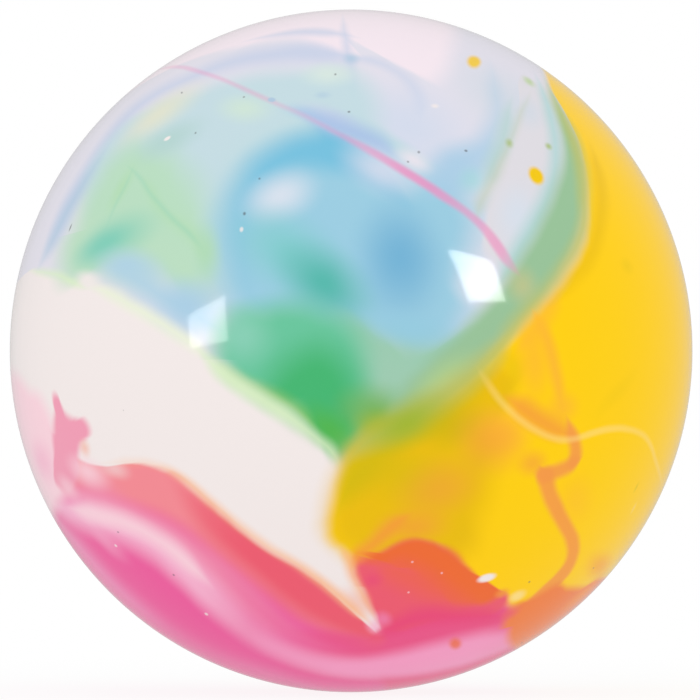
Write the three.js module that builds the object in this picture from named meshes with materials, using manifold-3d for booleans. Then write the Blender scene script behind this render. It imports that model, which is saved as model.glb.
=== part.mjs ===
// Field hockey ball, smooth, with a marbled cover.
//
// A ball of bonded cork and rubber sits inside a cover of two moulded half shells of white
// plastic, which meet on a lipped seam. Each half is moulded over charges of coloured plastic
// that were laid into the mould first, so every charge lies in a shallow pocket of its shell,
// flush with the ball's surface.
//
// Millimetres, +Z up, origin at the ball's centre. The front half faces -Y, the rear half +Y.
import * as THREE from 'three';
import { mergeVertices } from 'three/addons/utils/BufferGeometryUtils.js';
import Module from 'manifold-3d';

const wasm = await Module();
wasm.setup();

// Driving dimensions
const BALL_DIAMETER = 73; // a girth of 229 mm, inside the 224 to 235 mm of the rules of the game
const COVER_WALL = 5; // half shell, from the ball's surface to the core's seat
const CHARGE_DEPTH = 2.2; // how deep a coloured charge lies in its half shell
const RIM_BAND = 1.2; // plain white band beside the seam, which no charge crosses
const SEAM_SKIN = 1; // white wall left between a charge's pocket and the seam's rebate
const LIP_HEIGHT = 2.4; // how far the lip reaches into the rear half
const BOND_GAP = 0.3; // clearance that stands for a fused or glued face

// Facets
const TURN_STEPS = 48; // round the ball's front-to-rear axis
const ARC_STEPS = 12; // from the seam to a pole
const OUTLINE_STEPS = 44; // round a charge's outline
const CUT_PAST = 1; // how far a cutting solid runs past the face that it cuts

const BALL_RADIUS = BALL_DIAMETER / 2;
const CAVITY_RADIUS = BALL_RADIUS - COVER_WALL;
const CORE_RADIUS = CAVITY_RADIUS - BOND_GAP;
const POCKET_DEPTH = CHARGE_DEPTH + BOND_GAP;
const REBATE_RADIUS = BALL_RADIUS - POCKET_DEPTH - SEAM_SKIN;
const LIP_RADIUS = REBATE_RADIUS - BOND_GAP;

// Outlines of the coloured charges, as seen looking straight at their own half of the ball:
// x to the right and z up, in ball radii. Points past the rim run on to the seam. A charge gives
// way to those above it in its list.
const FRONT_OUTLINES = {
  orange_charge_front: [
    [0.03, -0.67], [0.09, -0.59], [0.17, -0.56], [0.27, -0.6], [0.36, -0.68], [0.46, -0.73],
    [0.56, -0.71], [0.64, -0.64], [0.74, -0.6], [0.8, -0.72], [0.62, -0.92], [0.47, -0.86],
    [0.4, -0.77], [0.26, -0.75], [0.12, -0.72],
  ],
  pink_charge_front: [
    [-1.05, -0.16], [-0.88, -0.18], [-0.83, -0.14], [-0.77, -0.22], [-0.76, -0.31], [-0.66, -0.33],
    [-0.55, -0.34], [-0.43, -0.41], [-0.3, -0.54], [-0.14, -0.66], [0, -0.75], [0.08, -0.81],
    [0.14, -0.68], [0.3, -0.7], [0.44, -0.78], [0.5, -0.9], [0.4, -1.12], [-0.14, -1.16],
    [-0.7, -0.95], [-1, -0.6],
  ],
  yellow_charge_front: [
    [0.53, 0.86], [0.6, 0.7], [0.67, 0.54], [0.68, 0.4], [0.63, 0.26], [0.51, 0.13], [0.38, 0],
    [0.25, -0.13], [0.1, -0.22], [-0.01, -0.33], [-0.06, -0.45], [-0.03, -0.57], [0.06, -0.64],
    [0.3, -0.72], [0.62, -0.76], [0.88, -0.72], [1.08, -0.38], [1.14, 0.15], [1, 0.65], [0.74, 0.92],
  ],
  blue_charge_front: [
    [-0.45, 0.1], [-0.46, 0.27], [-0.41, 0.43], [-0.31, 0.54], [-0.16, 0.61], [0, 0.62],
    [0.14, 0.55], [0.25, 0.45], [0.31, 0.32], [0.27, 0.2], [0.15, 0.14], [0.02, 0.18], [-0.08, 0.27],
    [-0.15, 0.38], [-0.23, 0.42], [-0.27, 0.35], [-0.25, 0.22], [-0.33, 0.1],
  ],
  green_swirl_front: [
    [-0.37, -0.06], [-0.26, 0.04], [-0.05, 0.09], [0.17, 0.08], [0.35, 0.15], [0.49, 0.28],
    [0.58, 0.43], [0.6, 0.6], [0.57, 0.76], [0.68, 0.7], [0.76, 0.48], [0.7, 0.25], [0.45, 0],
    [0.15, -0.26], [-0.02, -0.36], [-0.12, -0.26], [-0.24, -0.16],
  ],
  green_patch_front: [
    [-0.89, 0.23], [-0.85, 0.37], [-0.75, 0.54], [-0.62, 0.66], [-0.48, 0.67], [-0.42, 0.58],
    [-0.4, 0.4], [-0.42, 0.1], [-0.45, 0.02], [-0.54, 0.06], [-0.65, 0.15], [-0.76, 0.2],
  ],
};
const REAR_OUTLINES = {
  yellow_charge_rear: [
    [-1.12, 0.6], [-0.72, 0.74], [-0.4, 0.6], [-0.26, 0.3], [-0.38, -0.02], [-0.36, -0.3],
    [-0.52, -0.5], [-0.9, -0.66], [-1.16, -0.2],
  ],
  pink_charge_rear: [
    [-0.48, -1.08], [-0.5, -0.82], [-0.24, -0.58], [0.06, -0.5], [0.34, -0.58], [0.6, -0.36],
    [0.84, -0.22], [1.1, -0.3], [0.9, -0.8], [0.4, -1.14],
  ],
  blue_charge_rear: [
    [0.04, 0.16], [0.1, 0.48], [0.36, 0.7], [0.68, 0.56], [0.8, 0.2], [0.64, -0.04], [0.46, 0],
    [0.56, 0.26], [0.42, 0.44], [0.24, 0.34], [0.2, 0.12],
  ],
  green_charge_rear: [
    [-0.34, 0.8], [-0.04, 0.72], [0.12, 0.56], [0, 0.3], [-0.06, 0.02], [-0.24, -0.2], [-0.42, -0.16],
    [-0.34, 0.2], [-0.44, 0.56],
  ],
};

// Plastics and core stuff
const PLASTICS = {
  white: gloss(0xf1e9e8),
  orange: gloss(0xf08040),
  pink: gloss(0xea5fa0),
  yellow: gloss(0xfdd024),
  blue: gloss(0x7fc4e6),
  green: gloss(0x7fcfa4),
};
const CORK = new THREE.MeshStandardMaterial({ color: 0x9c7148, roughness: 0.9, metalness: 0 });

function gloss(color) {
  return new THREE.MeshStandardMaterial({ color, roughness: 0.18, metalness: 0 });
}

// Solids and meshes
function solidOf(geometry) {
  const bare = new THREE.BufferGeometry();
  bare.setAttribute('position', geometry.getAttribute('position'));
  bare.setIndex(geometry.getIndex());
  const merged = mergeVertices(bare);
  const corners = merged.getIndex().array;
  const triVerts = [];
  for (let i = 0; i < corners.length; i += 3) {
    const [a, b, c] = corners.slice(i, i + 3);
    if (a !== b && b !== c && c !== a) triVerts.push(a, b, c);
  }
  return new wasm.Manifold(new wasm.Mesh({
    numProp: 3,
    vertProperties: merged.getAttribute('position').array,
    triVerts: new Uint32Array(triVerts),
  }));
}

function meshOf(name, solid, material) {
  const { vertProperties, triVerts } = solid.getMesh();
  const geometry = new THREE.BufferGeometry();
  geometry.setAttribute('position', new THREE.BufferAttribute(vertProperties, 3));
  geometry.setIndex(new THREE.BufferAttribute(triVerts, 1));
  geometry.computeVertexNormals();
  const mesh = new THREE.Mesh(geometry, material);
  mesh.name = name;
  return mesh;
}

// An arc of a profile about the Y axis, from its pole at -Y to where it meets the plane at rimY.
function poleToRim(radius, rimY) {
  const sweep = Math.acos(-rimY / radius);
  return Array.from({ length: ARC_STEPS + 1 }, (_, i) => {
    const angle = (sweep * i) / ARC_STEPS;
    const y = i === ARC_STEPS ? rimY : -radius * Math.cos(angle);
    return new THREE.Vector2(i === 0 ? 0 : radius * Math.sin(angle), y);
  });
}

function turned(profile) {
  return solidOf(new THREE.LatheGeometry(profile, TURN_STEPS));
}

// A layer of the front half between two radii, ending on a flat rim at rimY.
function layer(innerRadius, outerRadius, rimY) {
  const outer = poleToRim(outerRadius, rimY);
  const inner = poleToRim(innerRadius, rimY).reverse();
  return turned([...outer, ...inner]);
}

// Half shells, both drawn facing -Y
function frontShellBlank() {
  const outer = poleToRim(BALL_RADIUS, 0);
  const cavity = poleToRim(CAVITY_RADIUS, 0).reverse();
  const lip = [
    new THREE.Vector2(LIP_RADIUS, 0),
    new THREE.Vector2(LIP_RADIUS, LIP_HEIGHT),
    new THREE.Vector2(CAVITY_RADIUS, LIP_HEIGHT),
  ];
  return turned([...outer, ...lip, ...cavity]);
}

function rearShellBlank() {
  const outer = poleToRim(BALL_RADIUS, 0);
  const rebateFloor = -(LIP_HEIGHT + BOND_GAP);
  const cavity = poleToRim(CAVITY_RADIUS, rebateFloor).reverse();
  const rebate = [
    new THREE.Vector2(REBATE_RADIUS, 0),
    new THREE.Vector2(REBATE_RADIUS, rebateFloor),
  ];
  return turned([...outer, ...rebate, ...cavity]);
}

// A smooth closed outline through the given points, run outwards all round by grow.
function outlineShape(points, grow) {
  const curve = new THREE.CatmullRomCurve3(
    points.map(([x, z]) => new THREE.Vector3(x * BALL_RADIUS, z * BALL_RADIUS, 0)),
    true,
  );
  const clockwise = THREE.ShapeUtils.isClockWise(curve.getPoints(OUTLINE_STEPS));
  const outward = clockwise ? -grow : grow;
  return new THREE.Shape(Array.from({ length: OUTLINE_STEPS }, (_, i) => {
    const place = curve.getPointAt(i / OUTLINE_STEPS);
    const along = curve.getTangentAt(i / OUTLINE_STEPS);
    return new THREE.Vector2(place.x + along.y * outward, place.y - along.x * outward);
  }));
}

// The outline as a straight column from the seam plane out past the ball's front.
function column(points, grow) {
  const depth = BALL_RADIUS + CUT_PAST;
  const geometry = new THREE.ExtrudeGeometry(outlineShape(points, grow), { depth, bevelEnabled: false });
  return solidOf(geometry.rotateX(Math.PI / 2));
}

// A half of the cover, facing -Y: its white shell and the charges in the shell's pockets.
function coverHalf(shellName, blank, outlines) {
  const half = new THREE.Group();
  const chargeLayer = layer(BALL_RADIUS - CHARGE_DEPTH, BALL_RADIUS, -RIM_BAND);
  const pocketLayer = layer(BALL_RADIUS - POCKET_DEPTH, BALL_RADIUS + CUT_PAST, BOND_GAP - RIM_BAND);
  let shell = blank;
  let freeLayer = chargeLayer;
  for (const [name, points] of Object.entries(outlines)) {
    const cutter = column(points, BOND_GAP);
    half.add(meshOf(name, freeLayer.intersect(column(points, 0)), PLASTICS[name.split('_')[0]]));
    freeLayer = freeLayer.subtract(cutter);
    shell = shell.subtract(pocketLayer.intersect(cutter));
  }
  half.add(meshOf(shellName, shell, PLASTICS.white));
  return half;
}

const core = turned([
  ...poleToRim(CORE_RADIUS, 0),
  ...poleToRim(CORE_RADIUS, 0).reverse().slice(1).map(({ x, y }) => new THREE.Vector2(x, -y)),
]);
const frontHalf = coverHalf('front_shell', frontShellBlank(), FRONT_OUTLINES);
const rearHalf = coverHalf('rear_shell', rearShellBlank(), REAR_OUTLINES);
rearHalf.rotation.z = Math.PI;

const ball = new THREE.Group();
ball.add(meshOf('cork_core', core, CORK), frontHalf, rearHalf);

export default ball;
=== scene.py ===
"""Looks of a field hockey ball: a glossy split cover, marbled in soft colours, over a cork core.

The marbling is laid down the way a moulder lays it: pours of pigment over a pearl ground, each one a
drop, a drawn-out ribbon or a spread pool. A few small white and cream drops among them are painted
highlights. Places on the cover are read off in millimetres, looking straight at one half of the
ball: x to the right and z up from its middle. A place outside the ball's outline lies round the rim,
as far past it as it lies outside.
"""

from __future__ import annotations

import logging
import math
from dataclasses import dataclass
from enum import Enum

import bmesh
import bpy
from mathutils import Matrix, Vector, noise

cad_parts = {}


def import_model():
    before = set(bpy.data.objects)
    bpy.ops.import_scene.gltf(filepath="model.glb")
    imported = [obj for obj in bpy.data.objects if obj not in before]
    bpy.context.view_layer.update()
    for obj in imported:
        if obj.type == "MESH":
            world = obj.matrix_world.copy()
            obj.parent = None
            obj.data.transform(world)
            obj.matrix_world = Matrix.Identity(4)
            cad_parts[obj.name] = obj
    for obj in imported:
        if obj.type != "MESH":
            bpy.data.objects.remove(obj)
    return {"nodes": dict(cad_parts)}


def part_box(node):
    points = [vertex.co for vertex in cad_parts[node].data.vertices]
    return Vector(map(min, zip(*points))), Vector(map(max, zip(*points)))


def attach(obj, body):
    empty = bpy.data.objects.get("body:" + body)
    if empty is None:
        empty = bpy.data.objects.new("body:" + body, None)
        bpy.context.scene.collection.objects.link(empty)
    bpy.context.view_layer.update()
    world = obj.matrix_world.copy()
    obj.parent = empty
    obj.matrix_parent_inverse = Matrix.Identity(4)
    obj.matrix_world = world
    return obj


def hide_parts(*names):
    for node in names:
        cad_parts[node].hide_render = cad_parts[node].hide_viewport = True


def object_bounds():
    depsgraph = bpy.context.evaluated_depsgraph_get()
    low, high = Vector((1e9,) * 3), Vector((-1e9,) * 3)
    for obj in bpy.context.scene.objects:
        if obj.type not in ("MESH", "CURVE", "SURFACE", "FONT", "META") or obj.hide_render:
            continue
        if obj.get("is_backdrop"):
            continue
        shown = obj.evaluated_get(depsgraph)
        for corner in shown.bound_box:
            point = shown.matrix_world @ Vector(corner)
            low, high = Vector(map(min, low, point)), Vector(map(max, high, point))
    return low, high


LOG = logging.getLogger("hockey_ball")

MM = 0.001
BODY = "root"

# From the ball's middle to the camera, in metres
EYE_DISTANCE = 1.0

Spot = tuple[float, float]
Reach = tuple[float, float, float]
Socket = bpy.types.NodeSocket


class Pigment(Enum):
    """The plastics in the cover and the stuff of the core, as sRGB colours; a few small white and cream
    drops of them are painted highlights.
    """

    WARM_WHITE = "f1e8e6"
    LILAC_WHITE = "e0dde8"
    GREY_LILAC = "d2d8e2"
    LENS_WHITE = "dddae0"
    ROSE_WHITE = "f3e5ed"
    PEARL_BLUE = "d4deea"
    LAVENDER = "c6cfe5"
    DUSTY_BLUE = "a9c6dc"
    ICE_BLUE = "bfd9df"
    PERIWINKLE = "d0d8e9"
    MID_BLUE = "94c9de"
    MIST_BLUE = "aed0e2"
    LIGHT_BLUE = "a4cae3"
    VIOLET_BLUE = "a6bee4"
    SKY_BLUE = "74bedb"
    DEEP_SKY = "66aad0"
    AQUA = "9ad8d6"
    TEAL = "5fc5b3"
    POOL_AQUA = "82cacc"
    DEEP_TEAL = "4ab4a4"
    SEA_GREEN = "8ccfb8"
    MINT = "b7dcbe"
    SPRING = "aedaa9"
    LEAF = "3fb36b"
    GRASS = "52b44c"
    LIME = "a2cb58"
    PALE_LIME = "daeec4"
    CREAM = "eaf0d8"
    OLIVE_CREAM = "dfe1cc"
    MIST_GREEN = "d6e5de"
    GREY_AQUA = "b0d1cc"
    SAGE = "97c198"
    MOSS = "78b258"
    OLIVE_MIST = "bcc9ac"
    MIST_AQUA = "b0d4d4"
    PALE_JADE = "98c8ac"
    JADE = "68c49c"
    OLIVE_FRINGE = "b9bf60"
    PALE_OLIVE = "b4cf88"
    OLIVE_LIME = "9bb42a"
    TAN = "d2c382"
    YELLOW = "ffcf00"
    GOLD = "f2c700"
    DEEP_GOLD = "ebbd00"
    OLIVE_YELLOW = "d4ba00"
    DARK_OLIVE = "c6b200"
    AMBER = "fdba2c"
    CREAM_YELLOW = "fddc82"
    ORANGE = "f59b38"
    VEIN_ORANGE = "f49945"
    RIM_ORANGE = "fa9214"
    CORAL_ORANGE = "f1813e"
    ORANGE_RED = "ee6c34"
    VERMILION = "ee6454"
    RED_ROSE = "ec5c70"
    HOT_ROSE = "e9467a"
    ROSE_MAGENTA = "ea5488"
    MAGENTA = "ec5a9c"
    RIM_ROSE = "f83c92"
    PINK = "f08abb"
    PALE_PINK = "f6b4d0"
    RIM_PINK = "f59cc4"
    BLUSH = "f9d2dc"
    CORAL = "f28a93"
    CORAL_PINK = "f08cac"
    STAR_PINK = "f09cb4"
    PEACH = "f9b680"
    PEACH_PINK = "f3bdae"
    THREAD_PINK = "ec84ba"
    DUST = "5a5a5e"
    CORK = "a97b50"
    CORK_DARK = "5f3f26"
    RUBBER = "2c2623"

    @property
    def linear(self) -> tuple[float, float, float, float]:
        """The colour as linear RGB with full alpha."""
        parts = [int(self.value[i : i + 2], 16) / 255 for i in (0, 2, 4)]
        red, green, blue = (c / 12.92 if c <= 0.04045 else ((c + 0.055) / 1.055) ** 2.4 for c in parts)
        return red, green, blue, 1.0


def placed(name: str, data: bpy.types.ID) -> bpy.types.Object:
    """Puts a mesh, a lamp or a camera into the scene.

    Args:
        name: The object's name.
        data: What it shows.

    Returns:
        The object.
    """
    thing = bpy.data.objects.new(name, data)
    bpy.context.scene.collection.objects.link(thing)
    return thing


def smooth_mesh(name: str, shape: bmesh.types.BMesh) -> bpy.types.Mesh:
    """Turns a mesh that is done into one with smooth faces.

    Args:
        name: The mesh's name.
        shape: What was built. It is freed.

    Returns:
        The mesh.
    """
    mesh = bpy.data.meshes.new(name)
    shape.to_mesh(mesh)
    shape.free()
    mesh.shade_smooth()
    return mesh


def node_group(name: str, inputs: dict[str, str], outputs: dict[str, str]) -> bpy.types.NodeTree:
    """Makes an empty node group with named sockets.

    Args:
        name: The group's name.
        inputs: The kind of each input.
        outputs: The kind of each output.

    Returns:
        The group.
    """
    group = bpy.data.node_groups.new(name, "ShaderNodeTree")
    for in_out, sockets in (("INPUT", inputs), ("OUTPUT", outputs)):
        for socket, kind in sockets.items():
            group.interface.new_socket(socket, in_out=in_out, socket_type=f"NodeSocket{kind}")
    return group


@dataclass(frozen=True)
class BallView:
    """How a place read off a picture of the ball lies on its surface.

    Attributes:
        radius: The ball's radius in millimetres.
        eye_distance: From the ball's middle to the eye, in millimetres.
    """

    radius: float
    eye_distance: float

    def unroll(self, x: float, z: float) -> Vector:
        """Finds where a place seen from the front lies on the unrolled half.

        Args:
            x: Millimetres to the right of the ball's middle, as seen.
            z: Millimetres above it, as seen.

        Returns:
            The same direction from the pole, at its true distance along the surface.
        """
        seen = math.hypot(x, z)
        if seen == 0:
            return Vector((0.0, 0.0))
        nearness = self.radius / self.eye_distance
        share = min(seen / self.radius, 1.0)
        lean = share * nearness
        flat = math.sqrt(1 - nearness**2)
        angle = math.asin(share / math.hypot(flat, lean)) - math.atan2(lean, flat)
        arc = self.radius * angle + max(seen - self.radius, 0.0)
        return Vector((x, z)) * (arc / seen)


class NodeBench:
    """Lays nodes into one node tree, in the order in which they are worked out."""

    ROW = 12
    PITCH = 190
    DROP = 330

    def __init__(self, tree: bpy.types.NodeTree) -> None:
        """Takes the tree that the nodes go into.

        Args:
            tree: A material's or a group's node tree.
        """
        self.tree = tree
        self.laid = 0

    def add(self, kind: str, **settings: object) -> bpy.types.Node:
        """Adds a node.

        Args:
            kind: The node's type name.
            **settings: Properties to set on it.

        Returns:
            The node.
        """
        node = self.tree.nodes.new(kind)
        node.location = (self.PITCH * (self.laid % self.ROW), -self.DROP * (self.laid // self.ROW))
        self.laid += 1
        for name, value in settings.items():
            setattr(node, name, value)
        return node

    def feed(self, socket: Socket, value: object) -> None:
        """Links a socket to another node's output, or sets its own value.

        Args:
            socket: The input.
            value: An output socket, or a plain value.
        """
        if isinstance(value, Socket):
            self.tree.links.new(value, socket)
        else:
            socket.default_value = value

    def math(self, operation: str, *values: object) -> Socket:
        """Adds a Math node.

        Args:
            operation: What it works out.
            *values: Its inputs, as sockets or numbers.

        Returns:
            Its output.
        """
        node = self.add("ShaderNodeMath", operation=operation)
        for socket, value in zip(node.inputs, values):
            self.feed(socket, value)
        return node.outputs["Value"]

    def vector(self, operation: str, *values: object, out: str = "Vector") -> Socket:
        """Adds a Vector Math node.

        Args:
            operation: What it works out.
            *values: Its vector inputs.
            out: The name of the output to use.

        Returns:
            That output.
        """
        node = self.add("ShaderNodeVectorMath", operation=operation)
        for socket, value in zip(node.inputs, values):
            self.feed(socket, value)
        return node.outputs[out]

    def scaled(self, vector: Socket, factor: object) -> Socket:
        """Multiplies a vector by a number.

        Args:
            vector: The vector.
            factor: A socket or a number.

        Returns:
            The longer or shorter vector.
        """
        node = self.add("ShaderNodeVectorMath", operation="SCALE")
        self.feed(node.inputs["Vector"], vector)
        self.feed(node.inputs["Scale"], factor)
        return node.outputs["Vector"]

    def split(self, vector: Socket) -> tuple[Socket, Socket, Socket]:
        """Splits a vector into its three parts.

        Args:
            vector: The vector.

        Returns:
            Its x, y and z.
        """
        node = self.add("ShaderNodeSeparateXYZ")
        self.feed(node.inputs["Vector"], vector)
        return node.outputs["X"], node.outputs["Y"], node.outputs["Z"]

    def joined(self, x: object, y: object) -> Socket:
        """Makes a flat vector of two parts.

        Args:
            x: Its first part.
            y: Its second part.

        Returns:
            The vector.
        """
        node = self.add("ShaderNodeCombineXYZ")
        self.feed(node.inputs["X"], x)
        self.feed(node.inputs["Y"], y)
        return node.outputs["Vector"]

    def along(self, place: Socket, direction: Vector) -> Socket:
        """Measures how far a place lies along a direction of the unrolled half.

        Args:
            place: The place.
            direction: A flat unit vector.

        Returns:
            The distance from the pole along it.
        """
        return self.vector("DOT_PRODUCT", place, (direction.x, direction.y, 0.0), out="Value")

    def turned(self, place: Socket, angle: float, middle: Vector) -> Socket:
        """Turns the unrolled half about a point of it.

        Args:
            place: The place on it.
            angle: How far to turn it anticlockwise, in radians.
            middle: The point that stays where it is.

        Returns:
            The turned place.
        """
        node = self.add("ShaderNodeVectorRotate", rotation_type="Z_AXIS")
        self.feed(node.inputs["Vector"], place)
        node.inputs["Center"].default_value = (middle.x, middle.y, 0.0)
        node.inputs["Angle"].default_value = angle
        return node.outputs["Vector"]

    def curve(self, value: Socket, points: list[Spot], handle: str = "AUTO") -> Socket:
        """Reads a smooth curve through given points.

        Args:
            value: Where along the curve.
            points: Its points, from left to right.
            handle: How the curve runs through them.

        Returns:
            The curve's height there.
        """
        node = self.add("ShaderNodeFloatCurve")
        node.mapping.use_clip = False
        line = node.mapping.curves[0]
        line.points[0].location = points[0]
        line.points[1].location = points[-1]
        for point in points[1:-1]:
            line.points.new(*point)
        for point in line.points:
            point.handle_type = handle
        node.mapping.update()
        self.feed(node.inputs["Value"], value)
        return node.outputs["Value"]

    def fade(self, value: Socket, none_at: float, full_at: float, top: object = 1.0) -> Socket:
        """Fades softly from nothing to a top value.

        The fade holds at both ends by itself, so the node's own clamp is off.

        Args:
            value: What the fade runs along.
            none_at: Where the result is 0.
            full_at: Where it reaches the top.
            top: The top value.

        Returns:
            The faded value.
        """
        node = self.add("ShaderNodeMapRange", interpolation_type="SMOOTHSTEP", clamp=False)
        self.feed(node.inputs["Value"], value)
        self.feed(node.inputs["From Min"], none_at)
        self.feed(node.inputs["From Max"], full_at)
        self.feed(node.inputs["To Max"], top)
        return node.outputs["Result"]

    def blend(self, under: object, over: object, share: object) -> Socket:
        """Lays one colour over another.

        Args:
            under: The colour below.
            over: The colour on top.
            share: How much of the top one shows.

        Returns:
            The mixed colour.
        """
        node = self.add("ShaderNodeMix", data_type="RGBA")
        self.feed(node.inputs["Factor"], share)
        self.feed(node.inputs["A"], under)
        self.feed(node.inputs["B"], over)
        return node.outputs["Result"]

    def noise(
        self, vector: Socket, scale: float, detail: float = 2.0, roughness: float = 0.5
    ) -> bpy.types.Node:
        """Adds a Noise texture.

        Args:
            vector: Where to read it.
            scale: Its repeats along a unit of the vector.
            detail: How many finer layers it has.
            roughness: How strong those are.

        Returns:
            The node.
        """
        node = self.add("ShaderNodeTexNoise")
        self.feed(node.inputs["Vector"], vector)
        node.inputs["Scale"].default_value = scale
        node.inputs["Detail"].default_value = detail
        node.inputs["Roughness"].default_value = roughness
        return node


def bare_material(name: str) -> tuple[bpy.types.Material, NodeBench]:
    """Makes a material with no nodes in it yet.

    Args:
        name: The material's name.

    Returns:
        The material, and the bench that lays its nodes.
    """
    material = bpy.data.materials.new(name)
    material.use_nodes = True
    material.node_tree.nodes.clear()
    return material, NodeBench(material.node_tree)


@dataclass(frozen=True)
class Drop:
    """A round or oval drop of pigment, or, for a few small white and cream ones, a painted highlight.

    Attributes:
        pigment: Its colour.
        at: Its middle.
        size: Its half length and half width on the surface, in millimetres.
        turn: How far its length is turned anticlockwise from x, in degrees.
        soft: The share of it, from the edge inwards, over which it fades.
        strength: How much of it shows.
    """

    pigment: Pigment
    at: Spot
    size: Spot
    turn: float = 0.0
    soft: float = 1.0
    strength: float = 1.0

    def mask(self, bench: NodeBench, place: Socket, view: BallView) -> Socket:
        """Works out how much of the drop shows at a place.

        Args:
            bench: Where the nodes go.
            place: The place on the unrolled half.
            view: How the half is unrolled.

        Returns:
            The share, from 0 to 1.
        """
        middle = view.unroll(*self.at)
        turned = bench.turned(place, -math.radians(self.turn), middle) if self.turn else place
        a, b = self.size
        back = (-middle.x / a, -middle.y / b, 0.0)
        local = bench.vector("MULTIPLY_ADD", turned, (1 / a, 1 / b, 0.0), back)
        away = bench.vector("LENGTH", local, out="Value")
        return bench.fade(away, 1.0, 1.0 - self.soft, self.strength)


@dataclass(frozen=True)
class Ribbon:
    """A pigment drawn out along a line, which thins away at both ends.

    Attributes:
        pigment: Its colour.
        path: Points along its middle, each with the half width there.
        soft: How far its edges fade, in millimetres.
        strength: How much of it shows.
        fades: How much of that shows at each point, where it isn't all.
    """

    pigment: Pigment
    path: tuple[Reach, ...]
    soft: float = 0.6
    strength: float = 1.0
    fades: tuple[float, ...] = ()

    def mask(self, bench: NodeBench, place: Socket, view: BallView) -> Socket:
        """Works out how much of the ribbon shows at a place.

        Args:
            bench: Where the nodes go.
            place: The place on the unrolled half.
            view: How the half is unrolled.

        Returns:
            The share, from 0 to 1.
        """
        spots = [view.unroll(x, z) for x, z, _ in self.path]
        run = spots[-1] - spots[0]
        along = run.normalized()
        across = Vector((-along.y, along.x))
        runs = [spot.dot(along) for spot in spots]
        if any(b <= a for a, b in zip(runs, runs[1:])):
            raise ValueError(f"a ribbon of {self.pigment.name} turns back on itself: {runs}")
        offsets = [spot.dot(across) for spot in spots]
        reaches = [0.0]
        for i in range(1, len(spots) - 1):
            step = spots[i + 1] - spots[i - 1]
            lean = step.length / step.dot(along)
            half_width = self.path[i][2]
            reaches.append((half_width + self.soft) * lean)
        reaches.append(0.0)
        u = bench.along(place, along)
        middle = bench.curve(u, list(zip(runs, offsets)))
        off_middle = bench.math("ABSOLUTE", bench.math("SUBTRACT", bench.along(place, across), middle))
        reach = bench.curve(u, list(zip(runs, reaches)), "AUTO_CLAMPED")
        inside = bench.math("SUBTRACT", reach, off_middle)
        top: object = self.strength
        if self.fades:
            tops = [share * self.strength for share in self.fades]
            top = bench.curve(u, list(zip(runs, tops)), "AUTO_CLAMPED")
        return bench.fade(inside, 0.0, 2 * self.soft, top)


@dataclass(frozen=True)
class Pool:
    """A pigment spread out to a closed outline round its middle.

    Attributes:
        pigment: Its colour.
        centre: A point from which all of the outline is in sight.
        outline: Points round the edge.
        soft: How far the edge fades, in millimetres.
        strength: How much of it shows.
    """

    pigment: Pigment
    centre: Spot
    outline: tuple[Spot, ...]
    soft: float = 0.6
    strength: float = 1.0

    def mask(self, bench: NodeBench, place: Socket, view: BallView) -> Socket:
        """Works out how much of the pool shows at a place.

        Args:
            bench: Where the nodes go.
            place: The place on the unrolled half.
            view: How the half is unrolled.

        Returns:
            The share, from 0 to 1.
        """
        middle = view.unroll(*self.centre)
        rays = [view.unroll(*spot) - middle for spot in self.outline]
        turns = sorted((math.atan2(ray.y, ray.x), ray.length) for ray in rays)
        first, last = turns[0], turns[-1]
        turns.insert(0, (last[0] - math.tau, last[1]))
        turns.append((first[0] + math.tau, first[1]))
        local = bench.vector("SUBTRACT", place, (middle.x, middle.y, 0.0))
        x = bench.along(local, Vector((1.0, 0.0)))
        y = bench.along(local, Vector((0.0, 1.0)))
        edge = bench.curve(bench.math("ARCTAN2", y, x), turns)
        inside = bench.math("SUBTRACT", edge, bench.vector("LENGTH", local, out="Value"))
        return bench.fade(inside, -self.soft, self.soft, self.strength)


Pour = Drop | Ribbon | Pool

# Short, for the lists of pours below
P = Pigment

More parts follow.
